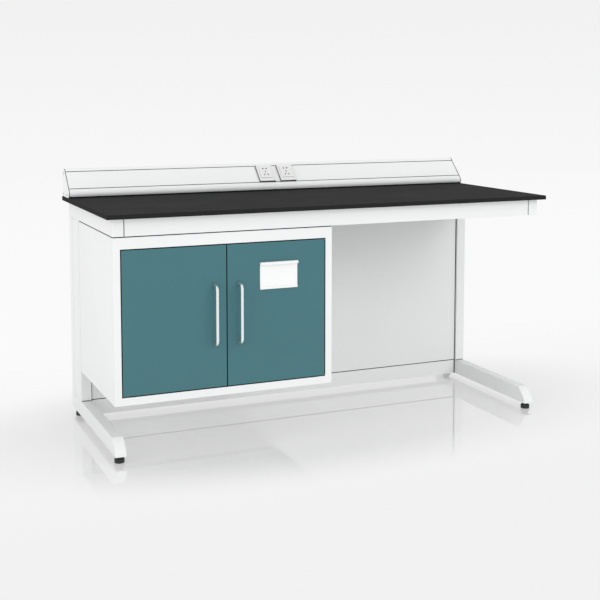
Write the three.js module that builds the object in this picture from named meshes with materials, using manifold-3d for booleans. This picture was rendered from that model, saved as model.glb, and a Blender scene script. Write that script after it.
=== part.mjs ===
// Laboratory bench: a cantilever steel frame that carries a black worktop, a hung cabinet
// with two doors and a service trough with two sockets along the rear edge.
// Millimetres, Z up. X runs along the worktop from its middle, Y from its front edge to the
// back, Z from the floor. The finished bench is moved so that its footprint is centred.

import * as THREE from "three";
import { mergeVertices } from "three/addons/utils/BufferGeometryUtils.js";
import Module from "manifold-3d";

// Fits
const FIT = 0.3; // between pieces that touch
const RUN = 0.7; // between a door edge and the plate it turns on
const THROUGH = 1; // how far a cutting tool passes the face it cuts

// Worktop
const WORKTOP_LENGTH = 1800;
const WORKTOP_DEPTH = 750;
const WORKTOP_THICKNESS = 16;
const WORKTOP_HEIGHT = 885; // upper face above the floor

// Steel frame
const SIDE_OVERHANG = 25; // worktop past the outer side of the frame
const FRONT_OVERHANG = 27; // worktop past the front of the frame
const REAR_OVERHANG = 10; // worktop past the rear of the uprights
const TUBE_WIDTH = 40; // arms, uprights and feet, along X
const TUBE_WALL = 2;
const RAIL_HEIGHT = 63; // arms and rails under the worktop
const RAIL_DEPTH = 40; // front and rear rail, along Y
const UPRIGHT_DEPTH = 170;
const FOOT_HEIGHT = 60;
const FLOOR_CLEARANCE = 25; // foot above the floor
const TOE_SETBACK = 3; // toe behind the front of the frame
const TOE_SLOPE = 46; // length over which the toe rises to full height
const TOE_ROUND = 25; // height of the toe's steep nose
const BEAM_DEPTH = 60; // rear lower beam, along Y
const BASE_SEAM = 3; // shadow line under the front of an upright
const RAIL_SEAM = 2.5; // shadow line between front rail and arm
const END_CAP = 2.5; // thickness of the caps on open tube ends
const CAP_PLUG = 12; // how far a cap reaches into its tube

// Cover strips let into the outer sides of the uprights
const COVER_FRONT = 59; // front of the channel behind the front of the upright
const COVER_WIDTH = 62; // width of the channel
const COVER_CHANNEL = 3.5; // depth of the channel
const COVER_THICKNESS = 2;
const COVER_PLAY = 0.8; // strip to each side of its channel
const COVER_TOP_GAP = 6; // strip below the arm

// Back panel
const PANEL_SETBACK = 10; // panel behind the front of the uprights
const PANEL_DEPTH = 15; // folded rim of the panel
const PANEL_GAP = 4; // shadow line beside each upright
const PANEL_SEAM = 3; // shadow line above the lower beam
const PANEL_SEAM_DEPTH = 8;
const SHEET = 1.5; // sheet metal of panel, cabinet and doors

// Levelling feet
const PAD_RADIUS = 18;
const PAD_EDGE = 1.5; // chamfer round the underside
const PAD_HEIGHT = 15;
const COLLAR_RADIUS = 13;
const COLLAR_BASE = 19; // height at which the collar starts
const STEM_RADIUS = 5;
const STEM_LENGTH = 28; // above the collar
const BOSS_RADIUS = 11;
const BOSS_HEIGHT = 16;
const STEM_PLAY = 0.3; // stem in the bore of its boss
const FRONT_PAD_INSET = 25; // pad centre behind the toe
const REAR_PAD_INSET = 55; // pad centre in front of the rear of the foot

// Service trough along the rear edge of the worktop
const TROUGH_REAR_INSET = 2; // behind it the worktop shows
const TROUGH_END_INSET = 4; // beside it the worktop shows
const TROUGH_DEPTH = 98;
const TROUGH_WALL = 2.5;
const TROUGH_CAP = 3; // thickness of the end caps
const CAP_PROUD = 1; // end cap past the outline of the trough
const KICK_HEIGHT = 35; // rounded strip below the fascia
const KICK_LEAN = 5.5; // top of that strip behind its base
const KICK_BULGE = 7; // middle of that strip in front of its base
const KICK_FLANGE = 12; // foot of that strip on the worktop
const FACE_ANGLE = THREE.MathUtils.degToRad(45);
const FACE_LENGTH = 92; // between the two seams, up the slope
const FACE_LIP = 14; // slope above the upper seam
const FASCIA_THICKNESS = 2.5;
const FASCIA_SEAM = 2; // open line along each edge of the fascia
const FASCIA_LEDGE = 6; // ledge that carries each edge of the fascia
const GLAND_RADIUS = 14;
const GLAND_SLEEVE = 10; // outer radius of the sleeve through the end cap
const GLAND_BORE = 7;
const GLAND_FLANGE = 1.4;
const GLAND_REACH = 6; // sleeve past the inside of the end cap
const GLAND_HEIGHT = 25; // axis above the worktop
const GLAND_SETBACK = 45; // axis in front of the rear of the trough

// Sockets
const SOCKET_SPACING = 95; // between the middles of the two plates
const PLATE_WIDTH = 70;
const PLATE_MARGIN = 2; // plate from the seam above and below it
const PLATE_RISE = 8; // plate in front of the fascia
const RIM_SIDE = 9; // plate round the insert
const RIM_TOP = 9;
const RIM_BOTTOM = 17;
const INSERT_PROUD = 1.6; // insert in front of its plate
const INSERT_TAIL = 12; // insert behind the front of the fascia
const HOLE_DEPTH = 14;
const ROUND_HOLE = 2.6; // radius
const ROUND_HOLE_SPREAD = 15; // between the two round holes
const ROUND_HOLE_UP = 18; // above the middle of the insert
const SLOT_WIDTH = 2.4;
const SLOT_LENGTH = 8;
const SLOT_SPREAD = 15; // between the two slanted slots
const SLOT_DOWN = 15; // below the middle of the insert
const SLOT_TURN = THREE.MathUtils.degToRad(30);
const EARTH_UP = 1.5; // earth slot above the middle of the insert
const BOX_WALL = 1.8;
const BOX_MARGIN = 3; // inside of the box past each side of the insert
const BOX_CLEAR = 3; // box in front of the back of the trough

// Cabinet hung below the worktop
const CABINET_WIDTH = 833;
const CABINET_HEIGHT = 594;
const CABINET_HANG = 3.5; // between the frame and the cabinet
const CABINET_REAR_GAP = 5; // in front of the uprights
const STILE_WIDTH = 26;
const TOP_FRAME = 41;
const BOTTOM_FRAME = 28;
const DOOR_THICKNESS = 20; // also the depth of the face frame
const DOOR_GAP = 4;
const HANGER_INSET = 4; // hanger bar inside the tube above it
const HANGER_END = 12; // hanger bar short of the rail and the cabinet's rear
const SHELF_LEVEL = 300; // upper face above the cabinet's underside
const SHELF_FOLD = 25;
const SHELF_SETBACK = 30; // behind the face frame
const SHELF_PLAY = 2;
const CLIP_LENGTH = 22;
const CLIP_REACH = 14;
const CLIP_DROP = 20;
const CLIP_THICKNESS = 2;
const CLIP_INSET = 60; // clip from the front and rear edge of the shelf

// Pivots and catch of the doors
const PIVOT_EDGE = 10; // axis from the hinged edge of the door
const PIVOT_DEPTH = 7; // axis behind the front of the door
const PIN_RADIUS = 3;
const PIN_LENGTH = 20;
const PIN_PLAY = 0.3;
const PIVOT_REACH = 14; // pivot plate past the axis
const PIVOT_FRONT = 4.5; // pivot plate in front of the axis
const PIVOT_REAR = 9; // pivot plate behind the axis
const HINGE_BLOCK_WIDTH = 24;
const HINGE_BLOCK_HEIGHT = 32;
const CATCH_WIDTH = 50;
const CATCH_PLATE = 3;
const CATCH_DROP = 24; // catch below the upper edge of the opening
const CATCH_LAP = 30; // catch plate up behind the face frame
const CATCH_DEPTH = 14;
const CATCH_GAP = 0.6; // catch behind a closed door

// Bow handles
const HANDLE_LENGTH = 216; // between the middles of the two feet
const HANDLE_RADIUS = 6;
const HANDLE_PROJECTION = 36;
const HANDLE_BEND = 20; // length that each bend takes off bar and leg
const HANDLE_EDGE = 45; // from the free edge of the door
const HANDLE_LIFT = 7; // above the middle of the door
const FLANGE_RADIUS = 9;
const FLANGE_THICKNESS = 3;

// Label holder on the right door
const LABEL_WIDTH = 148;
const LABEL_HEIGHT = 100;
const LABEL_DROP = 72; // below the top of the door
const LABEL_SHIFT = 7; // from the middle of the door towards its hinge
const LABEL_LIP_DEPTH = 5;
const LABEL_LIP_HEIGHT = 8;
const HOOD_DEPTH = 12;
const HOOD_HEIGHT = 10;
const CARD_THICKNESS = 1;
const CARD_INSET = 3; // card from the ends and the top of the holder

// Facets of round shapes
const ROUND_SIDES = 20;
const HANDLE_SIDES = 12;
const HANDLE_STEPS = 36;
const CURVE_STEPS = 8;
const MERGE = 1e-4; // corners closer than this are one

// Planes of the frame
const frameOuter = WORKTOP_LENGTH / 2 - SIDE_OVERHANG;
const frameInner = frameOuter - TUBE_WIDTH;
const frameFront = FRONT_OVERHANG;
const frameRear = WORKTOP_DEPTH - REAR_OVERHANG;
const railTop = WORKTOP_HEIGHT - WORKTOP_THICKNESS - FIT;
const railBottom = railTop - RAIL_HEIGHT;
const footBottom = FLOOR_CLEARANCE;
const footTop = footBottom + FOOT_HEIGHT;
const toeFront = frameFront + TOE_SETBACK;
const uprightFront = frameRear - UPRIGHT_DEPTH;
const panelFront = uprightFront + PANEL_SETBACK;
const crossReach = frameInner - FIT;

// Planes of the cabinet and its door opening
const cabinetLeft = -frameOuter;
const cabinetRight = cabinetLeft + CABINET_WIDTH;
const cabinetTop = railBottom - CABINET_HANG;
const cabinetBottom = cabinetTop - CABINET_HEIGHT;
const cabinetFront = frameFront;
const cabinetRear = uprightFront - CABINET_REAR_GAP;
const carcassFront = cabinetFront + DOOR_THICKNESS + FIT;
const openLeft = cabinetLeft + STILE_WIDTH;
const openRight = cabinetRight - STILE_WIDTH;
const openBottom = cabinetBottom + BOTTOM_FRAME;
const openTop = cabinetTop - TOP_FRAME;

// Doors
const doorWidth = (openRight - openLeft - 3 * DOOR_GAP) / 2;
const doorBottom = openBottom + DOOR_GAP;
const doorTop = openTop - DOOR_GAP;
const pivotY = cabinetFront + PIVOT_DEPTH;
const doorFrontLocal = -PIVOT_DEPTH;
const doorBackLocal = DOOR_THICKNESS - PIVOT_DEPTH;

// Trough section, as Y and Z of its corners
const troughEnd = WORKTOP_LENGTH / 2 - TROUGH_END_INSET;
const troughReach = troughEnd - TROUGH_CAP - FIT;
const troughRear = WORKTOP_DEPTH - TROUGH_REAR_INSET;
const troughFront = troughRear - TROUGH_DEPTH;
const troughBase = WORKTOP_HEIGHT + FIT;
const kickTopY = troughFront + KICK_LEAN;
const kickTopZ = troughBase + KICK_HEIGHT;
const troughTop = kickTopZ + (FACE_LENGTH + FACE_LIP) * Math.sin(FACE_ANGLE);

// Sockets in the plane of the slope: X from the middle of a plate, Y up from the kick
const plateX = [-PLATE_WIDTH / 2, PLATE_WIDTH / 2];
const plateY = [PLATE_MARGIN, FACE_LENGTH - PLATE_MARGIN];
const insertX = [plateX[0] + RIM_SIDE, plateX[1] - RIM_SIDE];
const insertY = [plateY[0] + RIM_BOTTOM, plateY[1] - RIM_TOP];
const insertMiddle = (insertY[0] + insertY[1]) / 2;

const wasm = await Module();
wasm.setup();

const coat = (color, roughness, metalness = 0) =>
  new THREE.MeshStandardMaterial({ color, roughness, metalness });

const FINISH = {
  frameWhite: coat(0xeceeee, 0.4),
  panelWhite: coat(0xe2e4e5, 0.45),
  worktopBlack: coat(0x2a2b2c, 0.5),
  doorTeal: coat(0x4f7880, 0.4),
  linerTeal: coat(0x5a858c, 0.45),
  troughWhite: coat(0xeff0f0, 0.35),
  socketWhite: coat(0xf3f3f1, 0.25),
  boxGrey: coat(0x8e9192, 0.6),
  footBlack: coat(0x141415, 0.55),
  glandBlack: coat(0x1a1a1a, 0.7),
  handleSteel: coat(0xd4d6d6, 0.28, 1),
  zincSteel: coat(0xb7babb, 0.4, 1),
  catchWhite: coat(0xe6e6e2, 0.5),
  labelWhite: coat(0xf1f2f2, 0.4),
  cardWhite: coat(0xf7f7f4, 0.8),
};

// Axes that turn a Y-Z outline to run along X
const ALONG_X = new THREE.Matrix4().makeBasis(
  new THREE.Vector3(0, 1, 0),
  new THREE.Vector3(0, 0, 1),
  new THREE.Vector3(1, 0, 0),
);

// A closed solid with its shared corners merged.
function solid(geometry) {
  const bare = geometry.clone();
  bare.deleteAttribute("normal");
  bare.deleteAttribute("uv");
  const merged = mergeVertices(bare, MERGE);
  return new wasm.Manifold(
    new wasm.Mesh({
      numProp: 3,
      vertProperties: merged.attributes.position.array,
      triVerts: new Uint32Array(merged.index.array),
    }),
  );
}

// The flat-shaded geometry of a solid.
function geometryOf(made) {
  const mesh = made.getMesh();
  const shared = new THREE.BufferGeometry();
  const corners = new Float32Array(mesh.vertProperties);
  shared.setAttribute("position", new THREE.BufferAttribute(corners, mesh.numProp));
  shared.setIndex(new THREE.BufferAttribute(new Uint32Array(mesh.triVerts), 1));
  const flat = shared.toNonIndexed();
  flat.computeVertexNormals();
  return flat;
}

// The first shape with each of the others taken out of it.
function cut(base, ...tools) {
  return geometryOf(tools.reduce((made, tool) => made.subtract(solid(tool)), solid(base)));
}

// All the shapes as one.
function join(...pieces) {
  return geometryOf(pieces.map(solid).reduce((made, piece) => made.add(piece)));
}

// A block between two planes on each axis.
function block([x0, x1], [y0, y1], [z0, z1]) {
  const made = new THREE.BoxGeometry(x1 - x0, y1 - y0, z1 - z0);
  made.translate((x0 + x1) / 2, (y0 + y1) / 2, (z0 + z1) / 2);
  return made;
}

// A round bar along Z.
function bar(radius, z0, z1, x = 0, y = 0) {
  const made = new THREE.CylinderGeometry(radius, radius, z1 - z0, ROUND_SIDES);
  made.rotateX(Math.PI / 2);
  made.translate(x, y, (z0 + z1) / 2);
  return made;
}

// A closed outline through corners.
function outline(corners) {
  return new THREE.Shape(corners.map(([a, b]) => new THREE.Vector2(a, b)));
}

// An outline given by Y and Z, drawn along X.
function alongX(shape, [x0, x1]) {
  const made = new THREE.ExtrudeGeometry(shape, {
    depth: x1 - x0,
    bevelEnabled: false,
    curveSegments: CURVE_STEPS,
  });
  made.applyMatrix4(ALONG_X);
  made.translate(x0, 0, 0);
  return made;
}

// An outline given by X and Y, drawn along Z.
function alongZ(shape, [z0, z1]) {
  const made = new THREE.ExtrudeGeometry(shape, { depth: z1 - z0, bevelEnabled: false });
  made.translate(0, 0, z0);
  return made;
}

// A range made narrower at both ends.
function inset([low, high], margin) {
  return [low + margin, high - margin];
}

// The range between two distances on one side of the middle: -1 left, 1 right.
function sideRange(side, near, far) {
  return side < 0 ? [-far, -near] : [near, far];
}

function sideName(side) {
  return side < 0 ? "left" : "right";
}

function place(parent, name, geometry, material) {
  const mesh = new THREE.Mesh(geometry, material);
  mesh.name = name;
  parent.add(mesh);
  return mesh;
}

// Uprights, with a channel in the outer side and a shadow line at the base.
function addUpright(frame, side) {
  const x = (distance) => side * distance;
  const coverFront = uprightFront + COVER_FRONT;
  const coverRear = coverFront + COVER_WIDTH;
  const channelFloor = frameOuter - COVER_CHANNEL;
  const section = (wall, floor) => [
    [x(frameInner + wall), uprightFront + wall],
    [x(frameOuter - wall), uprightFront + wall],
    [x(frameOuter - wall), coverFront - wall],
    [x(floor), coverFront - wall],
    [x(floor), coverRear + wall],
    [x(frameOuter - wall), coverRear + wall],
    [x(frameOuter - wall), frameRear - wall],
    [x(frameInner + wall), frameRear - wall],
  ];
  const shape = outline(section(0, channelFloor));
  shape.holes.push(outline(section(TUBE_WALL, channelFloor - TUBE_WALL).reverse()));
  const base = footTop + FIT;
  const seam = block(
    sideRange(side, frameInner - THROUGH, frameOuter + THROUGH),
    [uprightFront - THROUGH, uprightFront + TUBE_WALL],
    [base - THROUGH, base + BASE_SEAM],
  );
  const tube = cut(alongZ(shape, [base, railBottom - FIT]), seam);
  place(frame, `${sideName(side)}_upright`, tube, FINISH.frameWhite);

  const strip = block(
    sideRange(side, channelFloor + FIT, channelFloor + FIT + COVER_THICKNESS),
    inset([coverFront, coverRear], COVER_PLAY),
    [base, railBottom - COVER_TOP_GAP],
  );
  place(frame, `${sideName(side)}_upright_cover`, strip, FINISH.frameWhite);
}

// A cap that closes the rear end of a tube.
function rearCap(across, upright) {
  const plate = block(across, [frameRear + FIT, frameRear + FIT + END_CAP], upright);
  const plug = block(
    inset(across, TUBE_WALL + FIT),
    [frameRear - CAP_PLUG, frameRear + FIT + END_CAP],
    inset(upright, TUBE_WALL + FIT),
  );
  return join(plate, plug);
}

// Arms that carry the worktop, closed in front.
function addArm(frame, side) {
  const across = sideRange(side, frameInner, frameOuter);
  const upright = [railBottom, railTop];
  const bore = block(
    inset(across, TUBE_WALL),
    [frameFront + TUBE_WALL, frameRear + THROUGH],
    inset(upright, TUBE_WALL),
  );
  const tube = cut(block(across, [frameFront, frameRear], upright), bore);
  place(frame, `${sideName(side)}_arm`, tube, FINISH.frameWhite);
  place(frame, `${sideName(side)}_arm_cap`, rearCap(across, upright), FINISH.frameWhite);
}

// Side view of a foot, with its toe rising from the nose.
function footOutline(front, rear, bottom, top) {
  const shape = new THREE.Shape();
  shape.moveTo(rear, bottom);
  shape.lineTo(rear, top);
  shape.lineTo(front + TOE_SLOPE, top);
  shape.quadraticCurveTo(front, bottom + TOE_ROUND, front, bottom);
  shape.closePath();
  return shape;
}

const padPlaces = {
  front: toeFront + FRONT_PAD_INSET,
  rear: frameRear - REAR_PAD_INSET,
};
const padDistance = frameOuter - TUBE_WIDTH / 2;

// Feet, hollow from the rear, with a threaded boss above each levelling foot.
function addFoot(frame, side) {
  const across = sideRange(side, frameInner, frameOuter);
  const outer = alongX(footOutline(toeFront, frameRear, footBottom, footTop), across);
  const hollow = alongX(
    footOutline(
      toeFront + 2 * TUBE_WALL,
      frameRear + THROUGH,
      footBottom + TUBE_WALL,
      footTop - TUBE_WALL,
    ),
    inset(across, TUBE_WALL),
  );
  let tube = cut(outer, hollow);
  for (const y of Object.values(padPlaces)) {
    const x = side * padDistance;
    const bossTop = footBottom + BOSS_HEIGHT;
    const bore = bar(STEM_RADIUS + STEM_PLAY, footBottom - THROUGH, bossTop + THROUGH, x, y);
    tube = cut(join(tube, bar(BOSS_RADIUS, footBottom, bossTop, x, y)), bore);
  }
  place(frame, `${sideName(side)}_foot`, tube, FINISH.frameWhite);
  const cap = rearCap(across, [footBottom, footTop]);
  place(frame, `${sideName(side)}_foot_cap`, cap, FINISH.frameWhite);
}

// A levelling foot turned about its own axis, standing on the floor.
function levellingFoot() {
  const collarTop = footBottom - FIT;
  const stemTop = collarTop + STEM_LENGTH;
  const profile = [
    [0, 0],
    [PAD_RADIUS - PAD_EDGE, 0],
    [PAD_RADIUS, PAD_EDGE],
    [PAD_RADIUS, PAD_HEIGHT],
    [COLLAR_RADIUS, COLLAR_BASE],
    [COLLAR_RADIUS, collarTop],
    [STEM_RADIUS, collarTop],
    [STEM_RADIUS, stemTop],
    [0, stemTop],
  ];
  const turned = new THREE.LatheGeometry(
    profile.map(([radius, height]) => new THREE.Vector2(radius, height)),
    ROUND_SIDES,
  );
  return turned.rotateX(Math.PI / 2);
}

function addLevellingFeet(frame, side) {
  for (const [end, y] of Object.entries(padPlaces)) {
    const name = `${end}_${sideName(side)}_levelling_foot`;
    const mesh = place(frame, name, levellingFoot(), FINISH.footBlack);
    mesh.position.set(side * padDistance, y, 0);
  }
}

// A tube along X that is open at both ends, with a shadow line at each end of its front.
function crossTube(depth, height, seam) {
  const across = [-crossReach, crossReach];
  const bore = block(
    inset(across, -THROUGH),
    inset(depth, TUBE_WALL),
    inset(height, TUBE_WALL),
  );
  const tube = cut(block(across, depth, height), bore);
  const front = [depth[0] - THROUGH, depth[0] + TUBE_WALL];
  const ends = [-1, 1].map((side) =>
    block(
      sideRange(side, crossReach - seam, crossReach + THROUGH),
      front,
      inset(height, -THROUGH),
    ),
  );
  return cut(tube, ...ends);
}

function addCrossMembers(frame) {
  const underTop = [railBottom, railTop];
  const front = crossTube([frameFront, frameFront + RAIL_DEPTH], underTop, RAIL_SEAM);
  place(frame, "front_rail", front, FINISH.frameWhite);
  const rear = crossTube([panelFront, panelFront + RAIL_DEPTH], underTop, RAIL_SEAM);
  place(frame, "rear_top_rail", rear, FINISH.frameWhite);
  const low = crossTube(
    [panelFront, panelFront + BEAM_DEPTH],
    [footBottom, footTop],
    PANEL_GAP,
  );
  place(frame, "rear_beam", low, FINISH.frameWhite);

  const across = [cabinetRight - TUBE_WIDTH, cabinetRight];
  const along = [frameFront + RAIL_DEPTH + FIT, panelFront - FIT];
  const bore = block(
    inset(across, TUBE_WALL),
    inset(along, -THROUGH),
    inset(underTop, TUBE_WALL),
  );
  const middle = cut(block(across, along, underTop), bore);
  place(frame, "middle_cross_rail", middle, FINISH.frameWhite);
}

// Back panel: a folded sheet between the uprights, resting on the lower beam.
function addBackPanel(frame) {
  const across = [PANEL_GAP - frameInner, frameInner - PANEL_GAP];
  const upright = [footTop + FIT, railBottom - FIT];
  const rear = panelFront + PANEL_DEPTH;
  const hollow = block(
    inset(across, SHEET),
    [panelFront + SHEET, rear + THROUGH],
    inset(upright, SHEET),
  );
  const seam = block(
    inset(across, -THROUGH),
    [panelFront - THROUGH, panelFront + PANEL_SEAM_DEPTH],
    [upright[0] - THROUGH, upright[0] + PANEL_SEAM],
  );
  const panel = cut(block(across, [panelFront, rear], upright), hollow, seam);
  place(frame, "back_panel", panel, FINISH.panelWhite);
}

function addWorktop(bench) {
  const slab = block(
    [-WORKTOP_LENGTH / 2, WORKTOP_LENGTH / 2],
    [0, WORKTOP_DEPTH],
    [WORKTOP_HEIGHT - WORKTOP_THICKNESS, WORKTOP_HEIGHT],
  );
  place(bench, "worktop", slab, FINISH.worktopBlack);
}

// A point on the sloped face: distance up from the kick, depth behind the face.
function onSlope(up, depth) {
  return [
    kickTopY + up * Math.cos(FACE_ANGLE) + depth * Math.sin(FACE_ANGLE),
    kickTopZ + up * Math.sin(FACE_ANGLE) - depth * Math.cos(FACE_ANGLE),
  ];
}

// How far up the slope a line at some depth behind the face reaches a height.
function slopeTo(height, depth) {
  return (height - kickTopZ + depth * Math.cos(FACE_ANGLE)) / Math.sin(FACE_ANGLE);
}

// The bend of the kick: the curve passes half way between its ends and this point.
const kickBendY = 2 * (troughFront - KICK_BULGE) - (troughFront + kickTopY) / 2;
const kickBendZ = (troughBase + kickTopZ) / 2;

// Depths behind the sloped face: the seat of the fascia and the underside of its ledges.
const fasciaSeat = FASCIA_THICKNESS + FIT;
const ledgeUnder = fasciaSeat + TROUGH_WALL;

// The filled outline of the trough, grown outwards for the end caps.
function troughOutline(grow) {
  const shape = new THREE.Shape();
  shape.moveTo(troughRear + grow, troughBase);
  shape.lineTo(troughRear + grow, troughTop + grow);
  shape.lineTo(...onSlope(slopeTo(troughTop + grow, -grow), -grow));
  shape.lineTo(...onSlope(0, -grow));
  shape.quadraticCurveTo(kickBendY - grow, kickBendZ, troughFront - grow, troughBase);
  shape.closePath();
  return shape;
}

// The rounded strip below the fascia, with a flange on the worktop and a ledge on top.
function kickWall() {
  const shape = new THREE.Shape();
  shape.moveTo(troughFront, troughBase);
  shape.lineTo(troughFront + KICK_FLANGE, troughBase);
  shape.lineTo(troughFront + KICK_FLANGE, troughBase + TROUGH_WALL);
  shape.lineTo(troughFront + TROUGH_WALL, troughBase + TROUGH_WALL);
  const bend = [kickBendY + TROUGH_WALL, kickBendZ];
  shape.quadraticCurveTo(...bend, ...onSlope(0, ledgeUnder));
  shape.lineTo(...onSlope(FASCIA_LEDGE, ledgeUnder));
  shape.lineTo(...onSlope(FASCIA_LEDGE, fasciaSeat));
  shape.lineTo(...onSlope(0, fasciaSeat));
  shape.lineTo(...onSlope(0, 0));
  shape.quadraticCurveTo(kickBendY, kickBendZ, troughFront, troughBase);
  shape.closePath();
  return shape;
}

// The back and the top of the trough, with a ledge for the upper edge of the fascia.
function backWall() {
  const ceiling = troughTop - TROUGH_WALL;
  const ledge = FACE_LENGTH - FASCIA_LEDGE;
  const shape = new THREE.Shape();
  shape.moveTo(troughRear, troughBase);
  shape.lineTo(troughRear, troughTop);
  shape.lineTo(...onSlope(slopeTo(troughTop, 0), 0));
  shape.lineTo(...onSlope(FACE_LENGTH, 0));
  shape.lineTo(...onSlope(FACE_LENGTH, fasciaSeat));
  shape.lineTo(...onSlope(ledge, fasciaSeat));
  shape.lineTo(...onSlope(ledge, ledgeUnder));
  shape.lineTo(...onSlope(slopeTo(ceiling, ledgeUnder), ledgeUnder));
  shape.lineTo(troughRear - TROUGH_WALL, ceiling);
  shape.lineTo(troughRear - TROUGH_WALL, troughBase);
  shape.closePath();
  return shape;
}

// A ring-shaped gland that lines the cable hole in the right end cap.
function cableGland() {
  const inner = -TROUGH_CAP - GLAND_REACH;
  const outer = FIT + GLAND_FLANGE;
  const profile = [
    [GLAND_BORE, inner],
    [GLAND_SLEEVE, inner],
    [GLAND_SLEEVE, FIT],
    [GLAND_RADIUS, FIT],
    [GLAND_RADIUS, outer],
    [GLAND_BORE, outer],
    [GLAND_BORE, inner],
  ];
  const ring = new THREE.LatheGeometry(
    profile.map(([radius, height]) => new THREE.Vector2(radius, height)),
    ROUND_SIDES,
  );
  return ring.rotateZ(-Math.PI / 2);
}

function addTrough(bench) {
  const trough = new THREE.Group();
  bench.add(trough);
  const along = [-troughReach, troughReach];
  place(trough, "trough_kick", alongX(kickWall(), along), FINISH.troughWhite);
  place(trough, "trough_back", alongX(backWall(), along), FINISH.troughWhite);

  const outlet = [troughEnd, troughRear - GLAND_SETBACK, WORKTOP_HEIGHT + GLAND_HEIGHT];
  const cableHole = new THREE.CylinderGeometry(
    GLAND_SLEEVE + FIT,
    GLAND_SLEEVE + FIT,
    2 * (TROUGH_CAP + THROUGH),
    ROUND_SIDES,
  );
  cableHole.rotateZ(-Math.PI / 2).translate(...outlet);
  for (const side of [-1, 1]) {
    const range = sideRange(side, troughEnd - TROUGH_CAP, troughEnd);
    const plate = alongX(troughOutline(CAP_PROUD), range);
    const cap = side > 0 ? cut(plate, cableHole) : plate;
    place(trough, `${sideName(side)}_trough_cap`, cap, FINISH.troughWhite);
  }
  const gland = place(trough, "cable_gland", cableGland(), FINISH.glandBlack);
  gland.position.set(...outlet);

  // The fascia and the sockets lie in the plane of the slope: Y up it, Z out of it.
  const slope = new THREE.Group();
  slope.position.set(0, kickTopY, kickTopZ);
  slope.rotation.x = FACE_ANGLE;
  trough.add(slope);
  const socketX = [-SOCKET_SPACING / 2, SOCKET_SPACING / 2];
  const windows = socketX.map((x) =>
    block(
      inset([x + insertX[0], x + insertX[1]], -FIT),
      inset(insertY, -FIT),
      [-FASCIA_THICKNESS - THROUGH, THROUGH],
    ),
  );
  const sheet = block(along, inset([0, FACE_LENGTH], FASCIA_SEAM), [-FASCIA_THICKNESS, 0]);
  place(slope, "trough_fascia", cut(sheet, ...windows), FINISH.troughWhite);
  socketX.forEach((x, index) => {
    const socket = new THREE.Group();
    socket.position.x = x;
    slope.add(socket);
    addSocket(socket, sideName(2 * index - 1));
  });
}

// A slot across the slope, turned in the plane of the insert.
function slot(x, y, turn, depth) {
  const made = new THREE.BoxGeometry(SLOT_WIDTH, SLOT_LENGTH, depth[1] - depth[0]);
  made.rotateZ(turn);
  made.translate(x, y, (depth[0] + depth[1]) / 2);
  return made;
}

// A socket: plate, insert with the pin holes, and the box behind the fascia.
function addSocket(socket, name) {
  const plateFront = FIT + PLATE_RISE;
  const insertFront = plateFront + INSERT_PROUD;

  const plate = cut(
    block(plateX, plateY, [FIT, plateFront]),
    block(inset(insertX, -FIT), inset(insertY, -FIT), [FIT - THROUGH, plateFront + THROUGH]),
  );
  place(socket, `${name}_socket_plate`, plate, FINISH.socketWhite);

  const holeDepth = [insertFront - HOLE_DEPTH, insertFront + THROUGH];
  const holes = [slot(0, insertMiddle + EARTH_UP, 0, holeDepth)];
  for (const side of [-1, 1]) {
    const slotX = (side * SLOT_SPREAD) / 2;
    holes.push(slot(slotX, insertMiddle - SLOT_DOWN, side * SLOT_TURN, holeDepth));
    const roundX = (side * ROUND_HOLE_SPREAD) / 2;
    holes.push(bar(ROUND_HOLE, ...holeDepth, roundX, insertMiddle + ROUND_HOLE_UP));
  }
  const insert = cut(block(insertX, insertY, [-INSERT_TAIL, insertFront]), ...holes);
  place(socket, `${name}_socket_insert`, insert, FINISH.socketWhite);

  // The box fills the height between the ledges and reaches back towards the rear wall.
  const boxX = inset(insertX, -BOX_MARGIN - BOX_WALL);
  const boxY = inset([0, FACE_LENGTH], FASCIA_LEDGE + FIT);
  const boxFront = -FASCIA_THICKNESS - FIT;
  const wallY = troughRear - TROUGH_WALL - BOX_CLEAR;
  const boxBack = (onSlope(boxY[1], 0)[0] - wallY) / Math.sin(FACE_ANGLE);
  const box = cut(
    block(boxX, boxY, [boxBack, boxFront]),
    block(inset(boxX, BOX_WALL), inset(boxY, BOX_WALL), [boxBack + BOX_WALL, boxFront + THROUGH]),
  );
  place(socket, `${name}_socket_box`, box, FINISH.boxGrey);
}

// Cabinet frame: a hollow ring, open at the back, round the two doors.
function faceFrame() {
  const depth = [cabinetFront, cabinetFront + DOOR_THICKNESS];
  const across = [cabinetLeft, cabinetRight];
  const upright = [cabinetBottom, cabinetTop];
  const openX = [openLeft, openRight];
  const openZ = [openBottom, openTop];
  const opening = block(openX, inset(depth, -THROUGH), openZ);
  const hollowDepth = [depth[0] + SHEET, depth[1] + THROUGH];
  const hollow = cut(
    block(inset(across, SHEET), hollowDepth, inset(upright, SHEET)),
    block(inset(openX, -SHEET), inset(hollowDepth, -THROUGH), inset(openZ, -SHEET)),
  );
  return cut(block(across, depth, upright), opening, hollow);
}

// A sheet with its four edges folded down.
function tray(across, along, upright) {
  const hollow = block(
    inset(across, SHEET),
    inset(along, SHEET),
    [upright[0] - THROUGH, upright[1] - SHEET],
  );
  return cut(block(across, along, upright), hollow);
}

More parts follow.
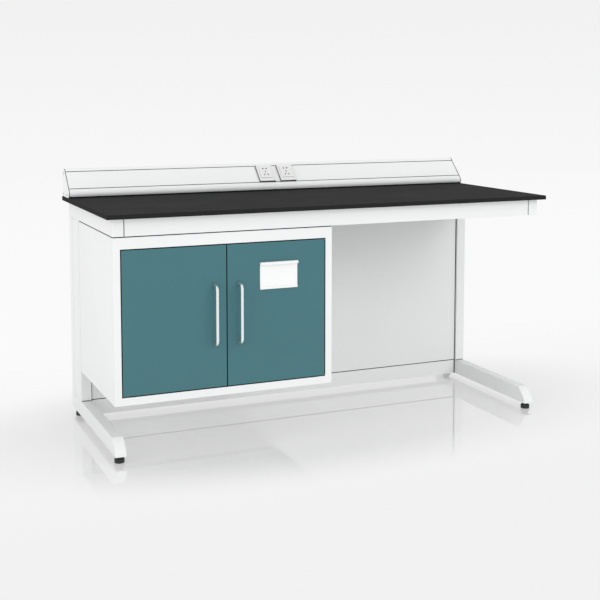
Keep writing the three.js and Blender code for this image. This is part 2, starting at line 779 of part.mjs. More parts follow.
function addCabinet(bench) {
  const cabinet = new THREE.Group();
  bench.add(cabinet);
  const upright = [cabinetBottom, cabinetTop];
  const depth = [carcassFront, cabinetRear];
  const inside = inset([cabinetLeft, cabinetRight], SHEET + FIT);
  const sheetDepth = [carcassFront, cabinetRear - SHEET - FIT];

  place(cabinet, "cabinet_face_frame", faceFrame(), FINISH.frameWhite);
  const left = block([cabinetLeft, cabinetLeft + SHEET], depth, upright);
  place(cabinet, "cabinet_left_side", left, FINISH.frameWhite);
  const right = block([cabinetRight - SHEET, cabinetRight], depth, upright);
  place(cabinet, "cabinet_right_side", right, FINISH.frameWhite);
  const top = block(inside, sheetDepth, [cabinetTop - SHEET, cabinetTop]);
  place(cabinet, "cabinet_top", top, FINISH.frameWhite);
  const bottom = tray(inside, sheetDepth, [cabinetBottom, openBottom]);
  place(cabinet, "cabinet_bottom", bottom, FINISH.frameWhite);
  const back = block(inside, [cabinetRear - SHEET, cabinetRear], upright);
  place(cabinet, "cabinet_back", back, FINISH.frameWhite);

  addShelf(cabinet);
  addHangers(cabinet);
  addCatch(cabinet);
}

// A folded shelf on four clips.
function addShelf(cabinet) {
  const across = inset([cabinetLeft, cabinetRight], SHEET + SHELF_PLAY);
  const along = [carcassFront + SHELF_SETBACK, cabinetRear - SHEET - SHELF_PLAY];
  const shelfTop = cabinetBottom + SHELF_LEVEL;
  const shelfUnder = shelfTop - SHELF_FOLD;
  const shelf = tray(across, along, [shelfUnder, shelfTop]);
  place(cabinet, "cabinet_shelf", shelf, FINISH.frameWhite);

  const clipY = {
    front: along[0] + CLIP_INSET,
    rear: along[1] - CLIP_INSET,
  };
  const clipTop = shelfUnder - FIT;
  for (const side of [-1, 1]) {
    const wall = side < 0 ? cabinetLeft + SHEET + FIT : cabinetRight - SHEET - FIT;
    const legs = (near, far) => [wall - side * near, wall - side * far].sort((a, b) => a - b);
    for (const [end, y] of Object.entries(clipY)) {
      const length = [y - CLIP_LENGTH / 2, y + CLIP_LENGTH / 2];
      const tab = block(legs(0, CLIP_REACH), length, [clipTop - CLIP_THICKNESS, clipTop]);
      const leg = block(legs(0, CLIP_THICKNESS), length, [clipTop - CLIP_DROP, clipTop]);
      const name = `${end}_${sideName(side)}_shelf_clip`;
      place(cabinet, name, join(tab, leg), FINISH.zincSteel);
    }
  }
}

// Flat bars that hold the cabinet clear of the left arm and the middle cross rail.
function addHangers(cabinet) {
  const along = inset([frameFront + RAIL_DEPTH, cabinetRear], HANGER_END);
  const upright = [cabinetTop + FIT, railBottom - FIT];
  const tubes = {
    left: [cabinetLeft, cabinetLeft + TUBE_WIDTH],
    right: [cabinetRight - TUBE_WIDTH, cabinetRight],
  };
  for (const [name, tube] of Object.entries(tubes)) {
    const flat = block(inset(tube, HANGER_INSET), along, upright);
    place(cabinet, `${name}_cabinet_hanger`, flat, FINISH.zincSteel);
  }
}

// A magnetic catch behind the upper rail that holds both doors at their free edges.
function addCatch(cabinet) {
  const middle = (openLeft + openRight) / 2;
  const across = [middle - CATCH_WIDTH / 2, middle + CATCH_WIDTH / 2];
  const face = cabinetFront + DOOR_THICKNESS + CATCH_GAP;
  const plate = block(
    across,
    [carcassFront, carcassFront + CATCH_PLATE],
    [openTop, openTop + CATCH_LAP],
  );
  const magnet = block(across, [face, face + CATCH_DEPTH], [openTop - CATCH_DROP, openTop + CATCH_PLATE]);
  place(cabinet, "magnetic_catch", join(plate, magnet), FINISH.catchWhite);
}

// Pivot plates in the gap above and below a door, each with a pin into the door.
function addPivots(cabinet, side, pivotX) {
  const inward = -side;
  const stile = side < 0 ? openLeft + FIT : openRight - FIT;
  const across = [stile, pivotX + inward * PIVOT_REACH].sort((a, b) => a - b);
  const along = [pivotY - PIVOT_FRONT, pivotY + PIVOT_REAR];
  const thickness = DOOR_GAP - FIT - RUN;
  const ends = {
    top: { plate: [openTop - FIT - thickness, openTop - FIT], pin: [doorTop - PIN_LENGTH, openTop - FIT] },
    bottom: {
      plate: [openBottom + FIT, openBottom + FIT + thickness],
      pin: [openBottom + FIT, doorBottom + PIN_LENGTH],
    },
  };
  for (const [end, { plate, pin }] of Object.entries(ends)) {
    const pivot = join(block(across, along, plate), bar(PIN_RADIUS, ...pin, pivotX, pivotY));
    place(cabinet, `${sideName(side)}_door_${end}_pivot`, pivot, FINISH.zincSteel);
  }
}

// A bow handle in front of the door: two legs, two bends and a straight bar.
function bowHandle() {
  const seat = doorFrontLocal - FIT;
  const front = doorFrontLocal - HANDLE_PROJECTION + HANDLE_RADIUS;
  const half = HANDLE_LENGTH / 2;
  const at = (y, z) => new THREE.Vector3(0, y, z);
  const path = new THREE.CurvePath();
  path.add(new THREE.LineCurve3(at(seat, -half), at(front + HANDLE_BEND, -half)));
  path.add(
    new THREE.QuadraticBezierCurve3(
      at(front + HANDLE_BEND, -half),
      at(front, -half),
      at(front, HANDLE_BEND - half),
    ),
  );
  path.add(new THREE.LineCurve3(at(front, HANDLE_BEND - half), at(front, half - HANDLE_BEND)));
  path.add(
    new THREE.QuadraticBezierCurve3(
      at(front, half - HANDLE_BEND),
      at(front, half),
      at(front + HANDLE_BEND, half),
    ),
  );
  path.add(new THREE.LineCurve3(at(front + HANDLE_BEND, half), at(seat, half)));
  const circle = new THREE.Shape();
  circle.absarc(0, 0, HANDLE_RADIUS, 0, 2 * Math.PI);
  const rod = new THREE.ExtrudeGeometry(circle, {
    steps: HANDLE_STEPS,
    curveSegments: HANDLE_SIDES / 2,
    extrudePath: path,
  });
  const flanges = [-half, half].map((z) => {
    const disc = new THREE.CylinderGeometry(
      FLANGE_RADIUS,
      FLANGE_RADIUS,
      FLANGE_THICKNESS,
      ROUND_SIDES,
    );
    disc.translate(0, seat - FLANGE_THICKNESS / 2, z);
    return disc;
  });
  return join(rod, ...flanges);
}

// A door about its pivot axis: outer skin, inner liner with hinge blocks, handle.
function addDoor(doors, side, pivotX) {
  const name = sideName(side);
  const door = new THREE.Group();
  door.position.set(pivotX, pivotY, 0);
  doors.add(door);
  const inward = -side;
  const from = (edge) => inward * (edge - PIVOT_EDGE);
  const range = (near, far) => [from(near), from(far)].sort((a, b) => a - b);
  const across = range(0, doorWidth);
  const upright = [doorBottom, doorTop];
  const depth = [doorFrontLocal, doorBackLocal];
  const pinHole = bar(PIN_RADIUS + PIN_PLAY, ...inset(upright, -THROUGH));

  const hollow = block(
    inset(across, SHEET),
    [depth[0] + SHEET, depth[1] + THROUGH],
    inset(upright, SHEET),
  );
  const skin = cut(block(across, depth, upright), hollow, pinHole);
  place(door, `${name}_door_skin`, skin, FINISH.doorTeal);

  const rim = SHEET + FIT;
  const linerUpright = inset(upright, rim);
  const sheet = block(inset(across, rim), [depth[1] - SHEET, depth[1]], linerUpright);
  const blockDepth = [depth[0] + rim, depth[1]];
  const blockAcross = range(rim, rim + HINGE_BLOCK_WIDTH);
  const [low, high] = linerUpright;
  const hinges = [
    block(blockAcross, blockDepth, [low, low + HINGE_BLOCK_HEIGHT]),
    block(blockAcross, blockDepth, [high - HINGE_BLOCK_HEIGHT, high]),
  ];
  const liner = cut(join(sheet, ...hinges), pinHole);
  place(door, `${name}_door_liner`, liner, FINISH.linerTeal);

  const handle = place(door, `${name}_handle`, bowHandle(), FINISH.handleSteel);
  handle.position.set(from(doorWidth - HANDLE_EDGE), 0, (doorBottom + doorTop) / 2 + HANDLE_LIFT);
  return door;
}

// A folded holder, hooded at the top, with a blank card on the face of a door.
function addLabel(door, inward) {
  const label = new THREE.Group();
  const middle = inward * (doorWidth / 2 - PIVOT_EDGE - LABEL_SHIFT);
  label.position.set(middle, doorFrontLocal - FIT, doorTop - LABEL_DROP - LABEL_HEIGHT);
  door.add(label);
  const across = [-LABEL_WIDTH / 2, LABEL_WIDTH / 2];
  const section = outline([
    [0, 0],
    [-LABEL_LIP_DEPTH, 0],
    [-LABEL_LIP_DEPTH, LABEL_LIP_HEIGHT],
    [SHEET - LABEL_LIP_DEPTH, LABEL_LIP_HEIGHT],
    [SHEET - LABEL_LIP_DEPTH, SHEET],
    [-SHEET, SHEET],
    [-SHEET, LABEL_HEIGHT - SHEET],
    [SHEET - HOOD_DEPTH, LABEL_HEIGHT - SHEET],
    [SHEET - HOOD_DEPTH, LABEL_HEIGHT - HOOD_HEIGHT],
    [-HOOD_DEPTH, LABEL_HEIGHT - HOOD_HEIGHT],
    [-HOOD_DEPTH, LABEL_HEIGHT],
    [0, LABEL_HEIGHT],
  ]);
  place(label, "label_holder", alongX(section, across), FINISH.labelWhite);
  const cardBack = -SHEET - FIT;
  const card = block(
    inset(across, CARD_INSET),
    [cardBack - CARD_THICKNESS, cardBack],
    [SHEET + FIT, LABEL_HEIGHT - SHEET - CARD_INSET],
  );
  place(label, "label_card", card, FINISH.cardWhite);
}

function addDoors(bench) {
  const doors = new THREE.Group();
  bench.add(doors);
  const leftPivot = openLeft + DOOR_GAP + PIVOT_EDGE;
  const rightPivot = openRight - DOOR_GAP - PIVOT_EDGE;
  addPivots(doors, -1, leftPivot);
  addPivots(doors, 1, rightPivot);
  addDoor(doors, -1, leftPivot);
  const right = addDoor(doors, 1, rightPivot);
  addLabel(right, -1);
}

const labBench = new THREE.Group();
const bench = new THREE.Group();
labBench.add(bench);

const frame = new THREE.Group();
bench.add(frame);
for (const side of [-1, 1]) {
  addUpright(frame, side);
  addArm(frame, side);
  addFoot(frame, side);
  addLevellingFeet(frame, side);
}
addCrossMembers(frame);
addBackPanel(frame);
addWorktop(bench);
addTrough(bench);
addCabinet(bench);
addDoors(bench);

// The footprint runs from the handles, or the worktop if it reaches further, to the rear edge.
const footprintFront = Math.min(0, cabinetFront - HANDLE_PROJECTION);
bench.position.y = -(footprintFront + WORKTOP_DEPTH) / 2;

export default labBench;
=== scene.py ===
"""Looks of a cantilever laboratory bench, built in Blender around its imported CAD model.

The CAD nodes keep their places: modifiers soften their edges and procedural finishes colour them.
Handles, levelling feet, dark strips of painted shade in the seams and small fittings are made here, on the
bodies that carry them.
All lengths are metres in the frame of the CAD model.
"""

import logging
import math
from dataclasses import dataclass
from enum import Enum
from typing import Sequence

import bmesh
import bpy
from mathutils import Matrix, Vector


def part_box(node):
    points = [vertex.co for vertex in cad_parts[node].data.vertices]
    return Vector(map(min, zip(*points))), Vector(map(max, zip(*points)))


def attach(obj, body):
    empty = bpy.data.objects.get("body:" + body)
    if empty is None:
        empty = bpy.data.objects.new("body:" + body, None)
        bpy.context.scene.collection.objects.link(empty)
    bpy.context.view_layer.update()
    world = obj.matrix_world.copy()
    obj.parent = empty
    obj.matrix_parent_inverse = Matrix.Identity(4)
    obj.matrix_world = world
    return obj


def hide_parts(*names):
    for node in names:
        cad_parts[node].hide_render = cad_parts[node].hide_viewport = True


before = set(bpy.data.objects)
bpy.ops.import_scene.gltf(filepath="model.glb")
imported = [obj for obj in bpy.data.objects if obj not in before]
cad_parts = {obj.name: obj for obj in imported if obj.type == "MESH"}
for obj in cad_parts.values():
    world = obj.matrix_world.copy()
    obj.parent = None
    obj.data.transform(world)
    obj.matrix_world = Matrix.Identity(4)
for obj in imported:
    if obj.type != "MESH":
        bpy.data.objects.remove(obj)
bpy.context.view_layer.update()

MM = 0.001
LOG = logging.getLogger("bench")

Colour = tuple[float, float, float, float]
Box = tuple[Vector, Vector]
Socket = bpy.types.NodeSocket
WHITE: Colour = (1.0, 1.0, 1.0, 1.0)

# Axes of the trough's sloped face: along the bench, up the slope and out of it.
SLOPE = math.pi / 4
UPHILL = Vector((0, math.cos(SLOPE), math.sin(SLOPE)))
OUTWARD = Vector((0, -math.sin(SLOPE), math.cos(SLOPE)))
FACE_AXES = Matrix((Vector((1, 0, 0)), UPHILL, OUTWARD)).transposed().to_4x4()


def srgb(red: int, green: int, blue: int) -> Colour:
    """Returns the linear colour of a screen colour with channels from 0 to 255, by the sRGB curve."""
    parts = [value / 255 for value in (red, green, blue)]
    return (*(part / 12.92 if part <= 0.04045 else ((part + 0.055) / 1.055) ** 2.4 for part in parts), 1.0)


def grey(tone: float) -> Colour:
    """Returns a linear grey."""
    return (tone, tone, tone, 1.0)


class Side(Enum):
    """A side of the bench, seen from the front."""

    LEFT = "left"
    RIGHT = "right"

    def __str__(self) -> str:
        """Returns the side's name."""
        return self.value

    @property
    def sign(self) -> int:
        """Direction along X away from the middle."""
        return -1 if self is Side.LEFT else 1

    def inner(self, box: Box) -> float:
        """Returns X of a box's face towards the middle."""
        return box[1].x if self is Side.LEFT else box[0].x

    def outer(self, box: Box) -> float:
        """Returns X of a box's face away from the middle."""
        return box[0].x if self is Side.LEFT else box[1].x


@dataclass(frozen=True)
class Grain:
    """A noise pattern: cells in a metre, octaves of finer noise and the scale of each axis."""

    scale: float
    detail: float
    stretch: tuple[float, float, float] | None = None


CLOUDS = Grain(1.7, 2.0)
COAT_GLOSS = Grain(9.0, 3.0)
COAT_PEEL = Grain(420.0, 1.0)
BOARD_GRAIN = Grain(650.0, 2.0)
BOARD_GLOSS = Grain(6.0, 3.0)
BRUSH_LINES = Grain(500.0, 2.0, (1.0, 1.0, 0.02))
GRAIN_CUT = -0.6  # below 0, so that the paler grains stay apart
COAT_SWING, BOARD_SWING, BRUSH_SWING = 0.05, 0.04, 0.06  # how far the roughness goes each way


class Wiring:
    """A node tree with short calls that add linked nodes."""

    # The part of a noise's values that is spread over a whole range.
    NOISE_LOW, NOISE_HIGH = 0.3, 0.7

    def __init__(self, tree: bpy.types.NodeTree) -> None:
        """Keeps the tree that the calls work on."""
        self.tree = tree

    @classmethod
    def of(cls, owner: bpy.types.Material | bpy.types.World) -> "Wiring":
        """Opens the node tree of a material or world and empties it.

        Args:
            owner: The material or world.

        Returns:
            The wiring of its tree.
        """
        owner.use_nodes = True
        owner.node_tree.nodes.clear()
        return cls(owner.node_tree)

    def add(self, kind: str, inputs: dict[str | int, object] | None = None,
            **settings: object) -> bpy.types.Node:
        """Adds a node.

        Args:
            kind: The node's Blender type.
            inputs: A value or another node's output for each input, by name or number.
            **settings: Properties to set on it first.

        Returns:
            The new node.
        """
        node = self.tree.nodes.new(kind)
        for name, value in settings.items():
            setattr(node, name, value)
        for key, value in (inputs or {}).items():
            if isinstance(value, Socket):
                self.tree.links.new(value, node.inputs[key])
            else:
                node.inputs[key].default_value = value
        return node

    def noise(self, grain: Grain) -> Socket:
        """Adds a noise texture in object coordinates.

        Args:
            grain: The pattern.

        Returns:
            The noise's value.
        """
        place = self.add("ShaderNodeTexCoord").outputs["Object"]
        if grain.stretch is not None:
            scaled = self.add("ShaderNodeMapping", {"Vector": place, "Scale": grain.stretch})
            place = scaled.outputs["Vector"]
        values = {"Vector": place, "Scale": grain.scale, "Detail": grain.detail}
        return self.add("ShaderNodeTexNoise", values).outputs["Fac"]

    def remap(self, value: Socket, source: Sequence[float], target: Sequence[float] = (0.0, 1.0),
              curve: str = "LINEAR") -> Socket:
        """Maps one range of values to another and holds it at both ends.

        Args:
            value: The value to map.
            source: First and last value of the range that goes in.
            target: First and last value of the range that comes out.
            curve: Interpolation between the ends.

        Returns:
            The mapped value.
        """
        ends = {"From Min": source[0], "From Max": source[1], "To Min": target[0], "To Max": target[1]}
        inputs = {"Value": value, **ends}
        return self.add("ShaderNodeMapRange", inputs, interpolation_type=curve).outputs["Result"]

    def spread(self, value: Socket, low: float, high: float) -> Socket:
        """Returns the middle of a noise spread from low to high."""
        return self.remap(value, (self.NOISE_LOW, self.NOISE_HIGH), (low, high))

    def math(self, operation: str, first: Socket, second: Socket, clamp: bool = False) -> Socket:
        """Returns the result of a math node on two values."""
        values = {0: first, 1: second}
        return self.add("ShaderNodeMath", values, operation=operation, use_clamp=clamp).outputs["Value"]

    def tint(self, blend: str, first: Socket, second: Socket, share: Socket) -> Socket:
        """Returns the first colour with a share of the second blended in."""
        inputs = {0: share, 6: first, 7: second}
        return self.add("ShaderNodeMix", inputs, data_type="RGBA", blend_type=blend).outputs[2]

    def blend(self, share: Socket, first: Socket, second: Socket) -> Socket:
        """Returns a mix of two shaders."""
        inputs = {"Fac": share, 1: first, 2: second}
        return self.add("ShaderNodeMixShader", inputs).outputs["Shader"]


@dataclass(frozen=True)
class Paint:
    """What a surface group makes of its inputs."""

    colour: Socket
    gloss: Socket
    swing: float
    height: Socket


class SurfaceGroup(Enum):
    """Shader node groups that several finishes share."""

    COAT = "powder_coat_surface"
    SPECKLE = "speckled_surface"
    BRUSHED = "brushed_surface"

    def tree(self) -> bpy.types.ShaderNodeTree:
        """Returns the group, built at its first use."""
        found = bpy.data.node_groups.get(self.value)
        return found if found is not None else self._make()

    def _make(self) -> bpy.types.ShaderNodeTree:
        """Builds the group.

        Returns:
            The group's tree.
        """
        tree = bpy.data.node_groups.new(self.value, "ShaderNodeTree")
        own = ("Grain", "Amount") if self is SurfaceGroup.SPECKLE else ("Tone",)
        names = {"INPUT": ("Colour", *own, "Roughness"), "OUTPUT": ("Colour", "Roughness", "Height")}
        for way, titles in names.items():
            for title in titles:
                kind = "NodeSocketColor" if title in ("Colour", "Grain") else "NodeSocketFloat"
                tree.interface.new_socket(name=title, in_out=way, socket_type=kind)
        wiring = Wiring(tree)
        entry = wiring.add("NodeGroupInput").outputs
        paint = self._paint(wiring, entry)
        change = wiring.spread(paint.gloss, -paint.swing, paint.swing)
        rough = wiring.math("ADD", entry["Roughness"], change, clamp=True)
        leave = {"Colour": paint.colour, "Roughness": rough, "Height": paint.height}
        wiring.add("NodeGroupOutput", leave)
        return tree

    def _paint(self, wiring: Wiring, entry: bpy.types.NodeOutputs) -> Paint:
        """Paints fine paler grains in a board, fine lines along Z in metal, or a coat with a fine peel.

        Args:
            wiring: Adds nodes to the group.
            entry: What goes into the group.

        Returns:
            The paint.
        """
        if self is SurfaceGroup.SPECKLE:
            grain = wiring.noise(BOARD_GRAIN)
            picked = wiring.spread(grain, GRAIN_CUT, 1.0)
            share = wiring.math("MULTIPLY", picked, entry["Amount"], clamp=True)
            colour = wiring.tint("MIX", entry["Colour"], entry["Grain"], share)
            return Paint(colour, wiring.noise(BOARD_GLOSS), BOARD_SWING, grain)
        brushed = self is SurfaceGroup.BRUSHED
        pattern = wiring.noise(BRUSH_LINES if brushed else CLOUDS)
        tone = wiring.spread(pattern, 0.0, 1.0)
        colour = wiring.tint("MULTIPLY", entry["Colour"], tone, entry["Tone"])
        if brushed:
            return Paint(colour, pattern, BRUSH_SWING, pattern)
        return Paint(colour, wiring.noise(COAT_GLOSS), COAT_SWING, wiring.noise(COAT_PEEL))


@dataclass(frozen=True)
class Surface:
    """One finish: a shared surface group with its own values in front of a Principled shader."""

    name: str
    slot: str
    colour: Colour
    roughness: float
    group: SurfaceGroup = SurfaceGroup.COAT
    tone: float = 0.03
    grain: Colour | None = None
    relief: float = 0.05
    depth: float = 0.2 * MM
    metallic: float = 0.0
    specular: float = 0.5

    def material(self) -> bpy.types.Material:
        """Returns the finish's material, made at its first use."""
        found = bpy.data.materials.get(self.name)
        return found if found is not None else self._make()

    def _make(self) -> bpy.types.Material:
        """Builds the material.

        Returns:
            The material.
        """
        made = bpy.data.materials.new(self.name)
        wiring = Wiring.of(made)
        values = {"Colour": self.colour, "Roughness": self.roughness}
        if self.grain is None:
            values["Tone"] = self.tone
        else:
            values |= {"Grain": self.grain, "Amount": self.tone}
        surface = wiring.add("ShaderNodeGroup", values, node_tree=self.group.tree()).outputs
        relief = {"Strength": self.relief, "Distance": self.depth, "Height": surface["Height"]}
        bump = wiring.add("ShaderNodeBump", relief)
        shader = wiring.add("ShaderNodeBsdfPrincipled", {
            "Base Color": surface["Colour"],
            "Roughness": surface["Roughness"],
            "Metallic": self.metallic,
            "Specular IOR Level": self.specular,
            "Normal": bump.outputs["Normal"],
        })
        wiring.add("ShaderNodeOutputMaterial", {"Surface": shader.outputs["BSDF"]})
        return made


FRAME_WHITE = Surface("frame_white_coat", "frame_white", srgb(238, 239, 239), 0.45)
PANEL_WHITE = Surface("panel_white_coat", "panel_white", srgb(236, 238, 237), 0.5)
TROUGH_WHITE = Surface("trough_white_coat", "trough_white", srgb(238, 239, 239), 0.4)
WORKTOP_BLACK = Surface(
    "worktop_black_board", "worktop_black", srgb(38, 38, 38), 0.8, SurfaceGroup.SPECKLE,
    tone=0.25, grain=srgb(62, 62, 62), relief=0.12, depth=0.1 * MM, specular=0.05)
SOCKET_WHITE = Surface("socket_white_plastic", "socket_white", srgb(230, 231, 230), 0.32)
# Dark colour of the socket hole plugs and the shelf hole discs: painted shade of the holes.
HOLE_SHADE_DARK = Surface("painted_hole_shade", "gland_black", srgb(30, 30, 31), 0.7, specular=0.2)
BOX_GREY = Surface("box_grey_plastic", "box_grey", srgb(176, 178, 178), 0.6)
GLAND_BLACK = Surface("gland_black_rubber", "gland_black", srgb(32, 32, 33), 0.62)
# Dark colour of the strips in the seams and round the doors: painted shade in the gaps.
SEAM_SHADE_DARK = Surface("painted_seam_shade", "gland_black", srgb(28, 29, 30), 0.8, specular=0.1)
PIVOT_DARK = Surface("pivot_dark_steel", "pivot_dark", srgb(34, 35, 36), 0.55, specular=0.3)
FOOT_BLACK = Surface("foot_black_rubber", "foot_black", srgb(50, 51, 52), 0.6, specular=0.3)
ZINC_STEEL = Surface(
    "zinc_plated_steel", "zinc_steel", srgb(196, 199, 202), 0.34, SurfaceGroup.BRUSHED,
    tone=0.12, relief=0.04, metallic=1.0)
HANDLE_STEEL = Surface(
    "satin_handle_steel", "handle_steel", srgb(250, 253, 253), 0.24, SurfaceGroup.BRUSHED,
    tone=0.06, relief=0.03, metallic=1.0)
# Dim teal colour of the handle roses: painted shade and a painted reflection of the teal door in the steel.
ROSE_STEEL_PAINTED_TEAL = Surface(
    "rose_steel_painted_teal_reflection", "handle_steel", srgb(112, 134, 138), 0.3, SurfaceGroup.BRUSHED,
    tone=0.06, relief=0.03, metallic=1.0)
CATCH_WHITE = Surface("catch_white_plastic", "catch_white", srgb(228, 229, 227), 0.45)
DOOR_TEAL = Surface("door_teal_coat", "door_teal", srgb(66, 114, 121), 0.5, tone=0.05, specular=0.4)
LINER_TEAL = Surface("liner_teal_coat", "liner_teal", srgb(64, 110, 117), 0.55, tone=0.05, specular=0.4)
LABEL_WHITE = Surface("label_white_coat", "label_white", srgb(243, 244, 244), 0.4)
CARD_WHITE = Surface("card_white_paper", "card_white", srgb(245, 246, 246), 0.85, relief=0.1, specular=0.2)


class Section(Enum):
    """Outline of a ring in a turned piece."""

    ROUND = "round"
    HEX = "hex"


@dataclass(frozen=True)
class Ring:
    """One ring of a turned piece; the radius of a hexagon is that of its corners."""

    radius: float
    height: float
    section: Section = Section.ROUND

    def point(self, angle: float) -> Vector:
        """Finds a point of the ring.

        Args:
            angle: Direction from the axis.

        Returns:
            The point.
        """
        reach = self.radius
        if self.section is Section.HEX:
            sixth = math.pi / 3
            reach *= math.cos(sixth / 2) / math.cos(angle % sixth - sixth / 2)
        return Vector((reach * math.cos(angle), reach * math.sin(angle), self.height))


def profile(*rows: tuple[float, float] | tuple[float, float, Section]) -> tuple[Ring, ...]:
    """Returns rings from their radius and height in millimetres and their section, if not round."""
    return tuple(Ring(row[0] * MM, row[1] * MM, *row[2:]) for row in rows)


def facing(point: Vector, direction: Vector) -> Matrix:
    """Returns the matrix that puts a turned form's axis at a point, in a direction."""
    return Matrix.Translation(point) @ direction.to_track_quat("Z", "Y").to_matrix().to_4x4()


def circle(sides: int) -> list[float]:
    """Returns the directions of evenly spaced corners."""
    return [2 * math.pi * step / sides for step in range(sides)]


EDGE_STEPS = 2  # faces across a rounded edge


class Shape:
    """A mesh in the frame of the CAD model that becomes a piece of the bench."""

    SIDES = 24
    SHARP = math.radians(38)
    SCREW_HEAD = profile(
        (4, 0), (4, 0.525), (3.6, 1.125), (2.88, 1.5), (2, 1.5, Section.HEX), (2, 0.4, Section.HEX))

    def __init__(self) -> None:
        """Starts with an empty mesh."""
        self.mesh = bmesh.new()

    def _skin(self, rows: Sequence[Sequence[Vector]]) -> None:
        """Covers rings of points with faces and closes both ends.

        Args:
            rows: The rings, all with the same number of points.
        """
        rings = [[self.mesh.verts.new(point) for point in row] for row in rows]
        sides = len(rings[0])
        for lower, upper in zip(rings, rings[1:]):
            for step in range(sides):
                after = (step + 1) % sides
                self.mesh.faces.new((lower[step], lower[after], upper[after], upper[step]))
        self.mesh.faces.new(tuple(reversed(rings[0])))
        self.mesh.faces.new(tuple(rings[-1]))

    def turn(self, rings: Sequence[Ring], place: Matrix, sides: int = SIDES) -> None:
        """Adds a form that is turned about its own Z axis and closed at both ends."""
        self._skin([[place @ ring.point(angle) for angle in circle(sides)] for ring in rings])

    def screw(self, point: Vector, outward: Vector) -> None:
        """Adds the round head of a screw with a hexagon recess on a surface."""
        self.turn(self.SCREW_HEAD, facing(point, outward))

    def sweep(self, path: Sequence[Vector], radius: float, across: Vector, sides: int) -> None:
        """Adds a round rod along a path that lies in one plane.

        Args:
            path: Points of the rod's middle line.
            radius: The rod's radius.
            across: Normal of the plane of the path.
            sides: Corners of the rod's section.
        """
        rows = []
        for index, point in enumerate(path):
            before, after = path[max(index - 1, 0)], path[min(index + 1, len(path) - 1)]
            outward = across.cross((after - before).normalized())
            arms = [math.cos(angle) * across + math.sin(angle) * outward for angle in circle(sides)]
            rows.append([point + radius * arm for arm in arms])
        self._skin(rows)

    def block(self, corner: Sequence[float], opposite: Sequence[float], edge: float,
              place: Matrix | None = None) -> None:
        """Adds a box with rounded edges.

        Args:
            corner: One of its corners.
            opposite: The corner across from it.
            edge: Radius of its edges.
            place: Where the box's own axes stand, if not in those of the CAD model.
        """
        spans = [sorted(ends) for ends in zip(corner, opposite)]
        made = bmesh.ops.create_cube(self.mesh, size=1.0)["verts"]
        for vert in made:
            shares = [value + 0.5 for value in vert.co]
            point = Vector([low + share * (high - low) for share, (low, high) in zip(shares, spans)])
            vert.co = point if place is None else place @ point
        edges = list({edge_of for vert in made for edge_of in vert.link_edges})
        bmesh.ops.bevel(
            self.mesh, geom=edges, offset=edge, segments=EDGE_STEPS, profile=0.5, affect="EDGES")

    def piece(self, name: str, finish: Surface, body: str = "frame") -> bpy.types.Object:
        """Turns the mesh, which is used up, into a piece of the bench.

        Args:
            name: The piece's name.
            finish: Its finish.
            body: The body that it moves with.

        Returns:
            The new object.
        """
        bmesh.ops.recalc_face_normals(self.mesh, faces=self.mesh.faces)
        data = bpy.data.meshes.new(name)
        self.mesh.to_mesh(data)
        self.mesh.free()
        data.polygons.foreach_set("use_smooth", [True] * len(data.polygons))
        data.set_sharp_from_angle(angle=self.SHARP)
        data.materials.append(finish.material())
        made = bpy.data.objects.new(name, data)
        bpy.context.scene.collection.objects.link(made)
        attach(made, body)
        LOG.info("%s: %d faces on %s", name, len(data.polygons), body)
        return made


WELD = 0.01 * MM
FLAT = math.radians(0.5)
CORNER = math.radians(35)


def dress(node: str, finish: Surface, edge: float) -> None:
    """Gives a CAD node its finish and soft edges; its own vertices stay as they are.

    Args:
        node: The node's name.
        finish: Its finish.
        edge: Width of the soft edges.
    """
    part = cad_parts[node]
    data = part.data
    data.materials.clear()
    data.materials.append(finish.material())
    normals = data.attributes.get("custom_normal")
    if normals is not None:
        data.attributes.remove(normals)
    data.polygons.foreach_set("use_smooth", [True] * len(data.polygons))
    weld = part.modifiers.new("join_corners", "WELD")
    weld.merge_threshold = WELD
    flat = part.modifiers.new("join_flats", "DECIMATE")
    flat.decimate_type = "DISSOLVE"
    flat.angle_limit = FLAT
    bevel = part.modifiers.new("soft_edges", "BEVEL")
    bevel.width = edge
    bevel.segments = EDGE_STEPS
    bevel.limit_method = "ANGLE"
    bevel.angle_limit = CORNER
    part.modifiers.new("even_shading", "WEIGHTED_NORMAL")
    LOG.info("%s: dressed in %s", node, finish.name)


